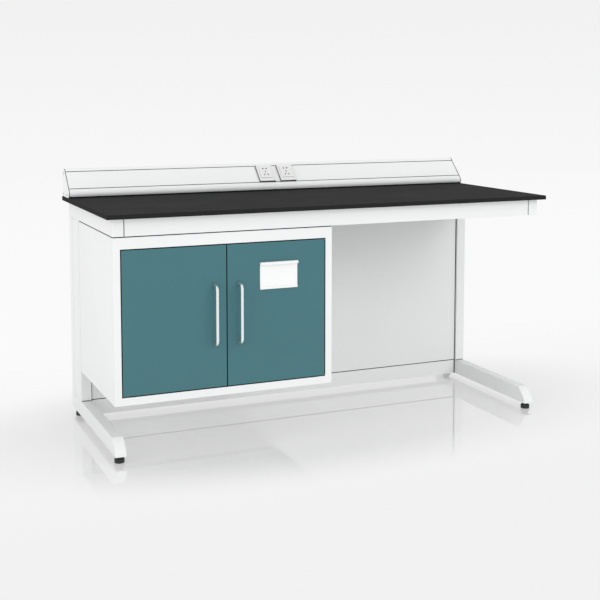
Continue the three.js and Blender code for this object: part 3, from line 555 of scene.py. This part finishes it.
@dataclass(frozen=True)
class SteelFrame:
    """Arms, uprights, feet, rails, beam and back panel of the bench."""

    tube_edge: float = 0.9 * MM
    cap_edge: float = 0.8 * MM
    sheet_edge: float = 0.6 * MM
    bracket_edge: float = 0.4 * MM
    bracket_gap: float = 0.2 * MM
    bracket_play: float = 0.3 * MM
    bracket_width: float = 30 * MM
    bracket_height: float = 44 * MM
    bracket_sheet: float = 2 * MM
    bracket_reach: float = 28 * MM
    bracket_shares: tuple[float, ...] = (0.12, 0.5, 0.88)
    screw_reach: float = 16.8 * MM
    screw_lift: float = 11.88 * MM

    def build(self) -> None:
        """Dresses the frame's nodes and adds the brackets behind the panel."""
        for side in Side:
            for member in ("upright", "arm", "foot"):
                dress(f"{side}_{member}", FRAME_WHITE, self.tube_edge)
            dress(f"{side}_upright_cover", FRAME_WHITE, self.sheet_edge)
            for member in ("arm_cap", "foot_cap"):
                dress(f"{side}_{member}", FRAME_WHITE, self.cap_edge)
            self._brackets(side)
        for rail in ("front_rail", "rear_top_rail", "middle_cross_rail", "rear_beam"):
            dress(rail, FRAME_WHITE, self.tube_edge)
        dress("back_panel", PANEL_WHITE, self.sheet_edge)

    def _brackets(self, side: Side) -> None:
        """Adds the angle brackets that hold one end of the back panel.

        Args:
            side: The end.
        """
        low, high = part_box("back_panel")
        inward = -side.sign
        near = side.inner(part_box(f"{side}_upright")) + inward * self.bracket_play
        rear = high.y + self.bracket_gap
        half = self.bracket_height / 2
        flaps = ((self.bracket_width, self.bracket_sheet), (self.bracket_sheet, self.bracket_reach))
        plates, screws = Shape(), Shape()
        for share in self.bracket_shares:
            middle = low.z + share * (high.z - low.z)
            for width, reach in flaps:
                corner = (near, rear, middle - half)
                opposite = (near + inward * width, rear + reach, middle + half)
                plates.block(corner, opposite, self.bracket_edge)
            for lift in (-self.screw_lift, self.screw_lift):
                point = Vector((near + inward * self.bracket_sheet, rear + self.screw_reach, middle + lift))
                screws.screw(point, Vector((inward, 0, 0)))
        plates.piece(f"{side}_panel_brackets", ZINC_STEEL)
        screws.piece(f"{side}_panel_screws", ZINC_STEEL)


@dataclass(frozen=True)
class LevellingFoot:
    """One levelling foot: a rubber pad under a hexagon collar, on a threaded stem."""

    corner: str
    pad: tuple[Ring, ...] = profile(
        (16.5, 0), (18, 1.5), (18, 5.4), (17.2, 6.3), (17.2, 7.2), (18, 8.1), (18, 13.2), (16.8, 15),
        (14.76, 16), (10.4, 18.4), (11.44, 18.7), (13, 19.78, Section.HEX), (13, 23.92, Section.HEX),
        (11.44, 24.7))
    pad_sides: int = 36
    stem_radius: float = 5 * MM
    stem_tip: float = 4 * MM
    stem_root: float = 1 * MM
    thread_depth: float = 0.6 * MM
    thread_pitch: float = 1.5 * MM

    def build(self) -> None:
        """Builds the pad and the thread in place of the CAD node."""
        node = f"{self.corner}_levelling_foot"
        body = f"{self.corner}_leveller"
        low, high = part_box(node)
        place = Matrix.Translation(Vector(((low.x + high.x) / 2, (low.y + high.y) / 2, low.z)))
        pad = Shape()
        pad.turn(self.pad, place, self.pad_sides)
        made = pad.piece(f"{self.corner}_foot_pad", FOOT_BLACK, body)
        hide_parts(node)
        thread = Shape()
        thread.turn(self._thread_rings(high.z - low.z), place)
        thread.piece(f"{self.corner}_foot_thread", ZINC_STEEL, body)

    def _thread_rings(self, top: float) -> list[Ring]:
        """Lists the rings of the threaded stem.

        Args:
            top: Height of the stem's end above the floor.

        Returns:
            The rings from the collar up.
        """
        height = self.pad[-1].height
        rings = [Ring(self.stem_radius, height - self.stem_root)]
        while height + self.thread_pitch < top:
            rings.append(Ring(self.stem_radius, height))
            rings.append(Ring(self.stem_radius - self.thread_depth, height + self.thread_pitch / 2))
            height += self.thread_pitch
        rings.append(Ring(self.stem_tip, top))
        return rings


@dataclass(frozen=True)
class Worktop:
    """The black worktop."""

    edge: float = 1.2 * MM

    def build(self) -> None:
        """Dresses the worktop."""
        dress("worktop", WORKTOP_BLACK, self.edge)


@dataclass(frozen=True)
class ServiceTrough:
    """The trough along the rear edge, with its fascia, end caps, sockets and gland."""

    sheet_edge: float = 0.6 * MM
    plate_edge: float = 1.4 * MM
    insert_edge: float = 0.5 * MM
    insert_depth: float = 21.9 * MM
    # The dark plugs and rims in the socket holes are painted shade that darkens the holes.
    hole_shade_sink: float = 0.2 * MM
    hole_shade_rim: float = 0.7 * MM
    hole_shade_depth: float = 3 * MM
    hole_shade_play: float = 0.15 * MM
    hole_shade_edge: float = 0.2 * MM
    hole_shade_sides: int = 16
    rim_height: float = 0.3 * MM
    rim_edge: float = 0.05 * MM
    round_hole: float = 2.6 * MM
    hole_spread: float = 15 * MM
    round_up: float = 18 * MM
    slot_width: float = 2.4 * MM
    slot_length: float = 8 * MM
    slot_down: float = 15 * MM
    slot_turn: float = math.radians(30)
    earth_up: float = 1.5 * MM
    cap_front: float = 24 * MM
    cap_inset: float = 12 * MM
    cap_drop: float = 19.2 * MM
    rear_screws: int = 7

    def build(self) -> None:
        """Dresses the trough's nodes and adds its screws and the dark plugs of painted shade in the socket
        holes.
        """
        for part in ("trough_kick", "trough_back", "trough_fascia", "left_trough_cap", "right_trough_cap"):
            dress(part, TROUGH_WHITE, self.sheet_edge)
        dress("cable_gland", GLAND_BLACK, self.insert_edge)
        for side in Side:
            dress(f"{side}_socket_plate", SOCKET_WHITE, self.plate_edge)
            dress(f"{side}_socket_insert", SOCKET_WHITE, self.insert_edge)
            dress(f"{side}_socket_box", BOX_GREY, self.insert_edge)
            self._shutters(side)
            self._cap_screws(side)
        self._rear_screws()

    def _shutters(self, side: Side) -> None:
        """Adds dark plugs and rims in the holes of one socket: painted shade that darkens the holes.

        Args:
            side: The socket.
        """
        low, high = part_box(f"{side}_socket_insert")
        lift = self.insert_depth / 2 - self.hole_shade_sink - self.hole_shade_depth
        base = Matrix.Translation((low + high) / 2 + lift * OUTWARD) @ FACE_AXES
        half_spread = self.hole_spread / 2
        hole_shade_marks = Shape()
        rod, rim = self.round_hole - self.hole_shade_play, self.round_hole + self.hole_shade_rim
        top = self.hole_shade_depth + self.hole_shade_sink
        rings = (Ring(rod, 0.0), Ring(rod, top), Ring(rim, top), Ring(rim, top + self.rim_height))
        for way in (-1, 1):
            point = base @ Vector((way * half_spread, self.round_up, 0))
            hole_shade_marks.turn(rings, facing(point, OUTWARD), self.hole_shade_sides)
        slots = [(0.0, self.earth_up, 0.0)]
        slots += [(way * half_spread, -self.slot_down, way * self.slot_turn) for way in (-1, 1)]
        half = Vector((self.slot_width / 2 - self.hole_shade_play, self.slot_length / 2 - self.hole_shade_play, 0))
        wide = half + Vector((self.hole_shade_rim, self.hole_shade_rim, 0))
        deep, proud = Vector((0, 0, self.hole_shade_depth)), Vector((0, 0, self.hole_shade_sink + self.rim_height))
        for across, up, angle in slots:
            place = base @ Matrix.Translation(Vector((across, up, 0))) @ Matrix.Rotation(angle, 4, "Z")
            hole_shade_marks.block(-half, half + deep, self.hole_shade_edge, place)
            hole_shade_marks.block(deep - wide, deep + wide + proud, self.rim_edge, place)
        hole_shade_marks.piece(f"{side}_socket_shutters", HOLE_SHADE_DARK)

    def _cap_screws(self, side: Side) -> None:
        """Adds the screws that hold one end cap.

        Args:
            side: The end.
        """
        low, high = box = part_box(f"{side}_trough_cap")
        rear, bottom = high.y - self.cap_inset, low.z + self.cap_inset
        screws = Shape()
        for y, z in ((low.y + self.cap_front, bottom), (rear, bottom), (rear, high.z - self.cap_drop)):
            screws.screw(Vector((side.outer(box), y, z)), Vector((side.sign, 0, 0)))
        screws.piece(f"{side}_trough_cap_screws", ZINC_STEEL)

    def _rear_screws(self) -> None:
        """Adds the row of screws along the back of the trough."""
        low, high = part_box("trough_back")
        screws = Shape()
        for index in range(self.rear_screws):
            share = (index + 0.5) / self.rear_screws
            point = Vector((low.x + share * (high.x - low.x), high.y, low.z + self.cap_inset))
            screws.screw(point, Vector((0, 1, 0)))
        screws.piece("trough_back_screws", ZINC_STEEL)


@dataclass(frozen=True)
class Cabinet:
    """The hung cabinet: face frame, carcass, shelf, hangers, catch and door pivots."""

    frame_edge: float = 0.6 * MM
    sheet_edge: float = 0.5 * MM
    fitting_edge: float = 0.4 * MM
    pin_hole: float = 2.6 * MM
    pin_proud: float = 0.2 * MM
    pin_sides: int = 12
    pin_pitch: float = 32 * MM
    pin_margin: float = 60 * MM

    def build(self) -> None:
        """Dresses the cabinet's nodes and adds the rows of dark discs, painted shade of the shelf clip holes.
        """
        dress("cabinet_face_frame", FRAME_WHITE, self.frame_edge)
        for sheet in ("left_side", "right_side", "top", "bottom", "back", "shelf"):
            dress(f"cabinet_{sheet}", FRAME_WHITE, self.sheet_edge)
        dress("magnetic_catch", CATCH_WHITE, self.fitting_edge)
        for side in Side:
            dress(f"{side}_cabinet_hanger", FRAME_WHITE, self.fitting_edge)
            for end in ("top", "bottom"):
                dress(f"{side}_door_{end}_pivot", PIVOT_DARK, self.fitting_edge)
            for end in ("front", "rear"):
                dress(f"{end}_{side}_shelf_clip", ZINC_STEEL, self.fitting_edge)
            self._shelf_holes(side)

    def _shelf_holes(self, side: Side) -> None:
        """Adds two rows of dark discs inside one wall, painted shade of the holes for the shelf clips.

        Args:
            side: The wall.
        """
        low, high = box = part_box(f"cabinet_{side}_side")
        rings = (Ring(self.pin_hole, 0.0), Ring(self.pin_hole, self.pin_proud))
        holes = Shape()
        for end in ("front", "rear"):
            clip_low, clip_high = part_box(f"{end}_{side}_shelf_clip")
            y = (clip_low.y + clip_high.y) / 2
            z = low.z + self.pin_margin
            while z < high.z - self.pin_margin:
                if not clip_low.z - self.pin_hole < z < clip_high.z + self.pin_hole:
                    place = facing(Vector((side.inner(box), y, z)), Vector((-side.sign, 0, 0)))
                    holes.turn(rings, place, self.pin_sides)
                z += self.pin_pitch
        holes.piece(f"{side}_wall_shelf_holes", HOLE_SHADE_DARK)


@dataclass(frozen=True)
class Door:
    """One teal door with its bow handle, the fittings on its back and dark strips on its edges, painted shade
    in the gap round it.
    """

    side: Side
    skin_edge: float = 0.7 * MM
    liner_edge: float = 0.5 * MM
    strip_edge: float = 0.1 * MM
    rod_radius: float = 6 * MM
    rod_bend: float = 20 * MM
    rod_sides: int = 28
    bend_steps: int = 12
    rose: tuple[Ring, ...] = profile((9, 0), (9, 1.8), (8.46, 2.55), (7.56, 3), (5.7, 3.6))
    strike_inset: float = 3 * MM
    strike_drop: float = 2 * MM
    strike_width: float = 18 * MM
    strike_height: float = 16 * MM
    strike_sheet: float = 0.4 * MM
    # Dark strips on the door's edges: painted shade in the gap round the door.
    edging: float = 0.4 * MM
    edging_sink: float = 0.8 * MM
    edging_depth: float = 11 * MM
    pivot_clear: float = 30 * MM

    def build(self) -> None:
        """Dresses the door's nodes and builds its handle, fittings and the dark strips of painted shade on
        its edges.
        """
        dress(f"{self.side}_door_skin", DOOR_TEAL, self.skin_edge)
        dress(f"{self.side}_door_liner", LINER_TEAL, self.liner_edge)
        self._handle()
        self._fittings()
        self._edging()

    @property
    def body(self) -> str:
        """Name of the door's body."""
        return f"{self.side}_door"

    def _handle_ends(self) -> tuple[Vector, Vector]:
        """Finds the feet of the handle on the door.

        Returns:
            The middles of its lower and upper rose.
        """
        low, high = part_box(f"{self.side}_handle")
        x, reach = (low.x + high.x) / 2, self.rose[0].radius
        return Vector((x, high.y, low.z + reach)), Vector((x, high.y, high.z - reach))

    def _handle(self) -> None:
        """Builds the bow handle in place of its CAD node."""
        node = f"{self.side}_handle"
        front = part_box(node)[0].y + self.rod_radius
        bottom, top = self._handle_ends()
        arc = []
        for step in range(self.bend_steps + 1):
            angle = math.pi / 2 * step / self.bend_steps
            arc.append((front + self.rod_bend * (1 - math.sin(angle)), self.rod_bend * (1 - math.cos(angle))))
        path = [bottom]
        path += [Vector((bottom.x, y, bottom.z + rise)) for y, rise in arc]
        path += [Vector((top.x, y, top.z - rise)) for y, rise in reversed(arc)]
        path.append(top)
        rod = Shape()
        rod.sweep(path, self.rod_radius, Vector((1, 0, 0)), self.rod_sides)
        roses = Shape()
        for end in (bottom, top):
            roses.turn(self.rose, facing(end, Vector((0, -1, 0))), self.rod_sides)
        # The roses' dim teal finish is painted shade and a painted reflection of the door.
        roses.piece(f"{self.side}_handle_roses", ROSE_STEEL_PAINTED_TEAL, self.body)
        made = rod.piece(f"{self.side}_bow_handle", HANDLE_STEEL, self.body)
        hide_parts(node)

    def _fittings(self) -> None:
        """Adds the handle's screws and the catch's strike plate on the back of the door."""
        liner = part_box(f"{self.side}_door_liner")
        rear = liner[1].y
        screws = Shape()
        for end in self._handle_ends():
            screws.screw(Vector((end.x, rear, end.z)), Vector((0, 1, 0)))
        screws.piece(f"{self.side}_handle_screws", ZINC_STEEL, self.body)
        start = self.side.inner(liner) + self.side.sign * self.strike_inset
        end = start + self.side.sign * self.strike_width
        top = liner[1].z - self.strike_drop
        strike = Shape()
        strike.block((start, rear, top - self.strike_height),
                     (end, rear + self.strike_sheet, top), self.strip_edge)
        strike.piece(f"{self.side}_door_strike", ZINC_STEEL, self.body)

    def _edging(self) -> None:
        """Adds dark strips on the door's edges, clear of its pivots: painted shade in the gap round the door.
        """
        low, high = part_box(f"{self.side}_door_skin")
        near, far = low.y + self.edging_sink, low.y + self.edging_depth
        hinge_low = self.pivot_clear if self.side is Side.LEFT else 0.0
        ends = (low.x + hinge_low, high.x - self.pivot_clear + hinge_low)
        strips = Shape()
        for z, way in ((low.z, -1), (high.z, 1)):
            strips.block((ends[0], near, z), (ends[1], far, z + way * self.edging), self.strip_edge)
        for x, way in ((low.x, -1), (high.x, 1)):
            strips.block((x, near, low.z), (x + way * self.edging, far, high.z), self.strip_edge)
        strips.piece(f"{self.side}_door_edging", SEAM_SHADE_DARK, self.body)


@dataclass(frozen=True)
class LabelHolder:
    """The folded holder on the right door and its blank card."""

    edge: float = 0.5 * MM
    card_edge: float = 0.2 * MM

    def build(self) -> None:
        """Dresses the holder and the card."""
        dress("label_holder", LABEL_WHITE, self.edge)
        dress("label_card", CARD_WHITE, self.card_edge)


@dataclass(frozen=True)
class SeamShadeStrips:
    """Dark strips in the open seams, painted shade that darkens the seam lines: fascia, sockets, end caps,
    panel, rails, cabinet and doors.
    """

    edge: float = 0.15 * MM
    sink: float = 0.8 * MM
    play: float = 0.1 * MM
    depth: float = 6 * MM
    proud: float = 0.3 * MM
    lip: float = 0.5 * MM
    edge_shade_proud: float = 0.35 * MM
    edge_shade_wall: float = 0.8 * MM
    edge_shade_height: float = 5.4 * MM
    base_height: float = 5 * MM
    fascia_seam: float = 2 * MM
    fascia_sheet: float = 2.5 * MM
    face_length: float = 92 * MM
    cap_shade_strip: float = 2.2 * MM
    cap_shrink: float = 0.992
    panel_seam: float = 3 * MM
    rail_seam: float = 2.3 * MM
    rail_depth: float = 1.9 * MM
    cabinet_inset: float = 1.5 * MM
    door_shade_width: float = 0.8 * MM
    door_sink: float = 0.6 * MM
    pivot_clear: float = 26 * MM

    def build(self) -> None:
        """Adds the dark strips of painted shade in every seam."""
        self._fascia()
        self._socket_edge_shades()
        self._trough_base()
        for side in Side:
            self._end_cap(side)
        self._panel()
        self._rail_ends()
        self._cabinet_top()
        self._doors()

    @property
    def face(self) -> Matrix:
        """Axes of the sloped face, from its lower edge at the middle of the bench."""
        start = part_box("trough_fascia")[0] - self.fascia_seam * UPHILL
        return Matrix.Translation(Vector((0, start.y, start.z + self.fascia_sheet * OUTWARD.z))) @ FACE_AXES

    def _fascia(self) -> None:
        """Fills the seams above and below the fascia with dark strips of painted shade."""
        low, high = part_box("trough_fascia")
        shade_strip = Shape()
        for seam in (0.0, self.face_length - self.fascia_seam):
            end = seam + self.fascia_seam
            shade_strip.block((low.x, seam + self.play, -self.fascia_sheet),
                       (high.x, end - self.play, self.proud), self.edge, self.face)
            shade_strip.block((low.x, seam - self.lip, self.play),
                       (high.x, end + self.lip, self.proud), self.play, self.face)
        shade_strip.piece("fascia_shade_strips", SEAM_SHADE_DARK)

    def _socket_edge_shades(self) -> None:
        """Puts a dark frame round the foot of each socket plate on the fascia, painted shade on the plate's
        shaded sides.
        """
        shade_strip = Shape()
        for side in Side:
            plate_low, plate_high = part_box(f"{side}_socket_plate")
            start, end = self.fascia_seam, self.face_length - self.fascia_seam
            near = Vector((plate_low.x - self.edge_shade_proud, start - self.edge_shade_proud, self.play))
            far = Vector((plate_high.x + self.edge_shade_proud, end + self.edge_shade_proud, self.edge_shade_height))
            for axis in (0, 1):
                inner_high, inner_low = far.copy(), near.copy()
                inner_high[axis] = near[axis] + self.edge_shade_wall
                inner_low[axis] = far[axis] - self.edge_shade_wall
                shade_strip.block(near, inner_high, self.edge, self.face)
                shade_strip.block(inner_low, far, self.edge, self.face)
        shade_strip.piece("socket_edge_shades", SEAM_SHADE_DARK)

    def _trough_base(self) -> None:
        """Lays a dark strip along the foot of the trough's front, painted shade where the kick meets the
        worktop.
        """
        low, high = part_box("trough_kick")
        shade_strip = Shape()
        shade_strip.block((low.x, low.y + self.sink, low.z),
                   (high.x, low.y + self.depth, low.z + self.base_height), self.edge)
        shade_strip.piece("trough_base_shade_strip", SEAM_SHADE_DARK)

    def _end_cap(self, side: Side) -> None:
        """Puts a dark strip of painted shade in the seam between one end cap and the trough.

        Args:
            side: The end.
        """
        node = f"{side}_trough_cap"
        low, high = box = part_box(node)
        inner = side.inner(box)
        middle = Vector((0, (low.y + high.y) / 2, low.z))
        shade_strip = Shape()
        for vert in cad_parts[node].data.vertices:
            shrunk = middle + self.cap_shrink * (vert.co - middle)
            for x in (inner, inner - side.sign * self.cap_shade_strip):
                shade_strip.mesh.verts.new((x, shrunk.y, shrunk.z))
        bmesh.ops.remove_doubles(shade_strip.mesh, verts=shade_strip.mesh.verts, dist=self.play)
        bmesh.ops.convex_hull(shade_strip.mesh, input=shade_strip.mesh.verts)
        spare = [vert for vert in shade_strip.mesh.verts if not vert.link_faces]
        bmesh.ops.delete(shade_strip.mesh, geom=spare, context="VERTS")
        shade_strip.piece(f"{side}_cap_shade_strip", SEAM_SHADE_DARK)

    def _panel(self) -> None:
        """Fills the seams beside and below the back panel and at the ends of the beam with dark strips of
        painted shade.
        """
        low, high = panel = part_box("back_panel")
        beam_low, beam_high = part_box("rear_beam")
        front, rear = low.y + self.sink, low.y + self.depth
        shade_strip = Shape()
        for side in Side:
            start = side.inner(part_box(f"{side}_upright")) - side.sign * self.play
            end = side.outer(panel) + side.sign * self.play
            shade_strip.block((start, front, low.z), (end, rear, high.z), self.edge)
            shade_strip.block((start, beam_low.y - self.sink, beam_low.z),
                       (end, beam_low.y + self.sink, beam_high.z), self.edge)
        top = low.z + self.panel_seam - self.play
        shade_strip.block((low.x, front, low.z), (high.x, rear, top), self.edge)
        shade_strip.piece("panel_shade_strips", SEAM_SHADE_DARK)

    def _rail_ends(self) -> None:
        """Fills the seams between the front rail and the arms with dark strips of painted shade."""
        low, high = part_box("front_rail")
        shade_strip = Shape()
        for side in Side:
            arm = side.inner(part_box(f"{side}_arm"))
            start, end = arm - side.sign * self.play, arm - side.sign * self.rail_seam
            shade_strip.block((start, low.y + self.sink, low.z + self.sink),
                       (end, low.y + self.rail_depth, high.z), self.edge)
        shade_strip.piece("rail_end_shade_strips", SEAM_SHADE_DARK)

    def _cabinet_top(self) -> None:
        """Fills the seam between the cabinet and the frame above it with dark strips of painted shade."""
        low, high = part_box("cabinet_face_frame")
        bottom, top = high.z + self.play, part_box("front_rail")[0].z - self.play
        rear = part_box("cabinet_left_side")[1].y
        near = (low.x + self.cabinet_inset, low.y + self.cabinet_inset, bottom)
        shade_strip = Shape()
        for far in ((high.x - self.cabinet_inset, low.y + self.depth), (low.x + self.depth, rear)):
            shade_strip.block(near, (*far, top), self.edge)
        shade_strip.piece("cabinet_top_shade_strips", SEAM_SHADE_DARK)

    def _doors(self) -> None:
        """Lines the opening of the cabinet round the doors with dark strips of painted shade in the door
        gaps.
        """
        low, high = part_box("cabinet_face_frame")
        left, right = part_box("left_door_skin"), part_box("right_door_skin")
        gap = right[0].x - left[1].x
        open_low = Vector((left[0].x - gap, low.y + self.door_sink, left[0].z - gap))
        open_high = Vector((right[1].x + gap, high.y, right[1].z + gap))
        shade_strip = Shape()
        for x, way in ((open_low.x, 1), (open_high.x, -1)):
            shade_strip.block((x + way * self.play, open_low.y, open_low.z + 2 * gap),
                       (x + way * self.door_shade_width, open_high.y, open_high.z - 2 * gap), self.edge)
        for z, way in ((open_low.z, 1), (open_high.z, -1)):
            shade_strip.block((open_low.x + self.pivot_clear, open_low.y, z + way * self.play),
                       (open_high.x - self.pivot_clear, open_high.y, z + way * self.door_shade_width), self.edge)
        shade_strip.piece("door_opening_shade_strips", SEAM_SHADE_DARK)


@dataclass(frozen=True)
class Lamp:
    """A large soft lamp, which neither the camera nor a reflection shows."""

    name: str
    place: tuple[float, float, float]
    size: float
    power: float

    def add(self, target: Vector) -> None:
        """Adds the lamp to the scene.

        Args:
            target: The point that it shines at.
        """
        data = bpy.data.lights.new(self.name, "AREA")
        data.energy = self.power
        data.size = self.size
        lamp = bpy.data.objects.new(self.name, data)
        lamp.location = self.place
        lamp.visible_camera = False
        lamp.visible_glossy = False
        lamp.rotation_euler = (target - Vector(self.place)).to_track_quat("-Z", "Y").to_euler()
        bpy.context.scene.collection.objects.link(lamp)


@dataclass(frozen=True)
class Studio:
    """Pale floor, soft light and the camera at the photograph's viewpoint."""

    pale: float = 0.885
    bright: float = 0.955
    haze: float = 0.93
    sky_rows: tuple[float, float] = (-0.07, 0.08)
    floor_rows: tuple[float, ...] = (-1.0, 1.2, 4.0, 14.0)
    sky_light: float = 0.74
    floor_radius: float = 14.0
    floor_sides: int = 64
    floor_tone: float = 0.46
    floor_roughness: float = 0.0
    floor_ior: float = 3.0
    floor_glow: float = 0.26
    floor_reach: tuple[float, float, float] = (1.25, 0.58, 1.0)
    fade_rows: tuple[float, float] = (0.8, 1.45)
    lamps: tuple[Lamp, ...] = (
        Lamp("key", (2.6, -3.6, 2.7), 1.8, 34.0),
        Lamp("left_fill", (-4.2, -1.6, 1.6), 3.0, 40.0),
        Lamp("front_fill", (0.4, -5.2, 0.9), 1.6, 30.0),
        Lamp("top_fill", (0.4, -0.6, 4.2), 3.0, 20.0),
    )
    target: tuple[float, float, float] = (0.0, 0.0, 0.5)
    camera_place: tuple[float, float, float] = (-1.7947, -4.0934, 1.3162)
    camera_down: float = math.radians(5.309)
    camera_turn: float = math.radians(23.402)
    lens: float = 66.97
    shift_y: float = -0.18

    def build(self) -> None:
        """Builds the floor, the lights and the camera."""
        bpy.context.scene.view_settings.view_transform = "Standard"
        self._world()
        self._floor()
        for lamp in self.lamps:
            lamp.add(Vector(self.target))
        self._camera()

    def _world(self) -> None:
        """Lights the bench evenly and shows a pale background to the camera and in reflections."""
        world = bpy.data.worlds.new("studio")
        bpy.context.scene.world = world
        wiring = Wiring.of(world)
        light = wiring.add("ShaderNodeBackground", {"Color": WHITE, "Strength": self.sky_light})
        place = wiring.add("ShaderNodeTexCoord").outputs["Generated"]
        height = wiring.add("ShaderNodeSeparateXYZ", {"Vector": place}).outputs["Z"]
        tone = wiring.remap(height, self.sky_rows, (self.haze, self.pale), "SMOOTHSTEP")
        seen = wiring.add("ShaderNodeBackground", {"Color": tone})
        rays = wiring.add("ShaderNodeLightPath").outputs
        share = rays["Is Camera Ray"]
        for ray in ("Is Glossy Ray", "Is Transmission Ray"):
            share = wiring.math("MAXIMUM", share, rays[ray])
        mix = wiring.blend(share, light.outputs["Background"], seen.outputs["Background"])
        wiring.add("ShaderNodeOutputWorld", {"Surface": mix})

    def _floor(self) -> None:
        """Builds a pale glossy floor that fades into the background away from the bench."""
        mesh = bmesh.new()
        bmesh.ops.create_circle(mesh, cap_ends=True, radius=self.floor_radius, segments=self.floor_sides)
        data = bpy.data.meshes.new("floor")
        mesh.to_mesh(data)
        mesh.free()
        data.materials.append(self._floor_material())
        floor = bpy.data.objects.new("floor", data)
        bpy.context.scene.collection.objects.link(floor)

    def _floor_material(self) -> bpy.types.Material:
        """Builds the floor's material.

        Returns:
            The material.
        """
        made = bpy.data.materials.new("pale_floor")
        wiring = Wiring.of(made)
        place = wiring.add("ShaderNodeTexCoord").outputs["Object"]
        shader = wiring.add("ShaderNodeBsdfPrincipled", {
            "Base Color": grey(self.floor_tone),
            "Emission Color": WHITE,
            "Emission Strength": self.floor_glow,
            "Roughness": self.floor_roughness,
            "IOR": self.floor_ior,
        })
        glow = wiring.add("ShaderNodeEmission", {"Color": self._open_floor(wiring, place)})
        shares = wiring.add("ShaderNodeVectorMath", {0: place, 1: self.floor_reach}, operation="DIVIDE")
        reach = wiring.add("ShaderNodeVectorMath", {0: shares.outputs["Vector"]}, operation="LENGTH")
        fade = wiring.remap(reach.outputs["Value"], self.fade_rows, curve="SMOOTHSTEP")
        mix = wiring.blend(fade, shader.outputs["BSDF"], glow.outputs["Emission"])
        wiring.add("ShaderNodeOutputMaterial", {"Surface": mix})
        return made

    def _open_floor(self, wiring: Wiring, place: Socket) -> Socket:
        """Colours the floor away from the bench, lightest behind it.

        Args:
            wiring: Adds nodes to the floor's material.
            place: Places on the floor.

        Returns:
            The colour.
        """
        start, end = self.floor_rows[0], self.floor_rows[-1]
        row = wiring.add("ShaderNodeSeparateXYZ", {"Vector": place}).outputs["Y"]
        ramp = wiring.add("ShaderNodeValToRGB", {"Fac": wiring.remap(row, (start, end))})
        tones = (self.pale, self.bright, self.bright, self.haze)
        stops = ramp.color_ramp.elements
        while len(stops) < len(tones):
            stops.new(1.0)
        for stop, edge, tone in zip(stops, self.floor_rows, tones):
            stop.position = (edge - start) / (end - start)
            stop.color = grey(tone)
        return ramp.outputs["Color"]

    def _camera(self) -> None:
        """Adds the camera."""
        data = bpy.data.cameras.new("camera")
        data.lens = self.lens
        data.shift_y = self.shift_y
        camera = bpy.data.objects.new("camera", data)
        camera.location = self.camera_place
        camera.rotation_euler = (math.pi / 2 - self.camera_down, 0, -self.camera_turn)
        bpy.context.scene.collection.objects.link(camera)
        bpy.context.scene.camera = camera


def main() -> None:
    """Builds the studio and every sub-assembly of the bench in order."""
    logging.basicConfig(level=logging.INFO, format="%(name)s: %(message)s")
    Studio().build()
    SteelFrame().build()
    for corner in ("front_left", "front_right", "rear_left", "rear_right"):
        LevellingFoot(corner).build()
    Worktop().build()
    ServiceTrough().build()
    Cabinet().build()
    for side in Side:
        Door(side).build()
    LabelHolder().build()
    SeamShadeStrips().build()


if __name__ == "__main__":
    main()
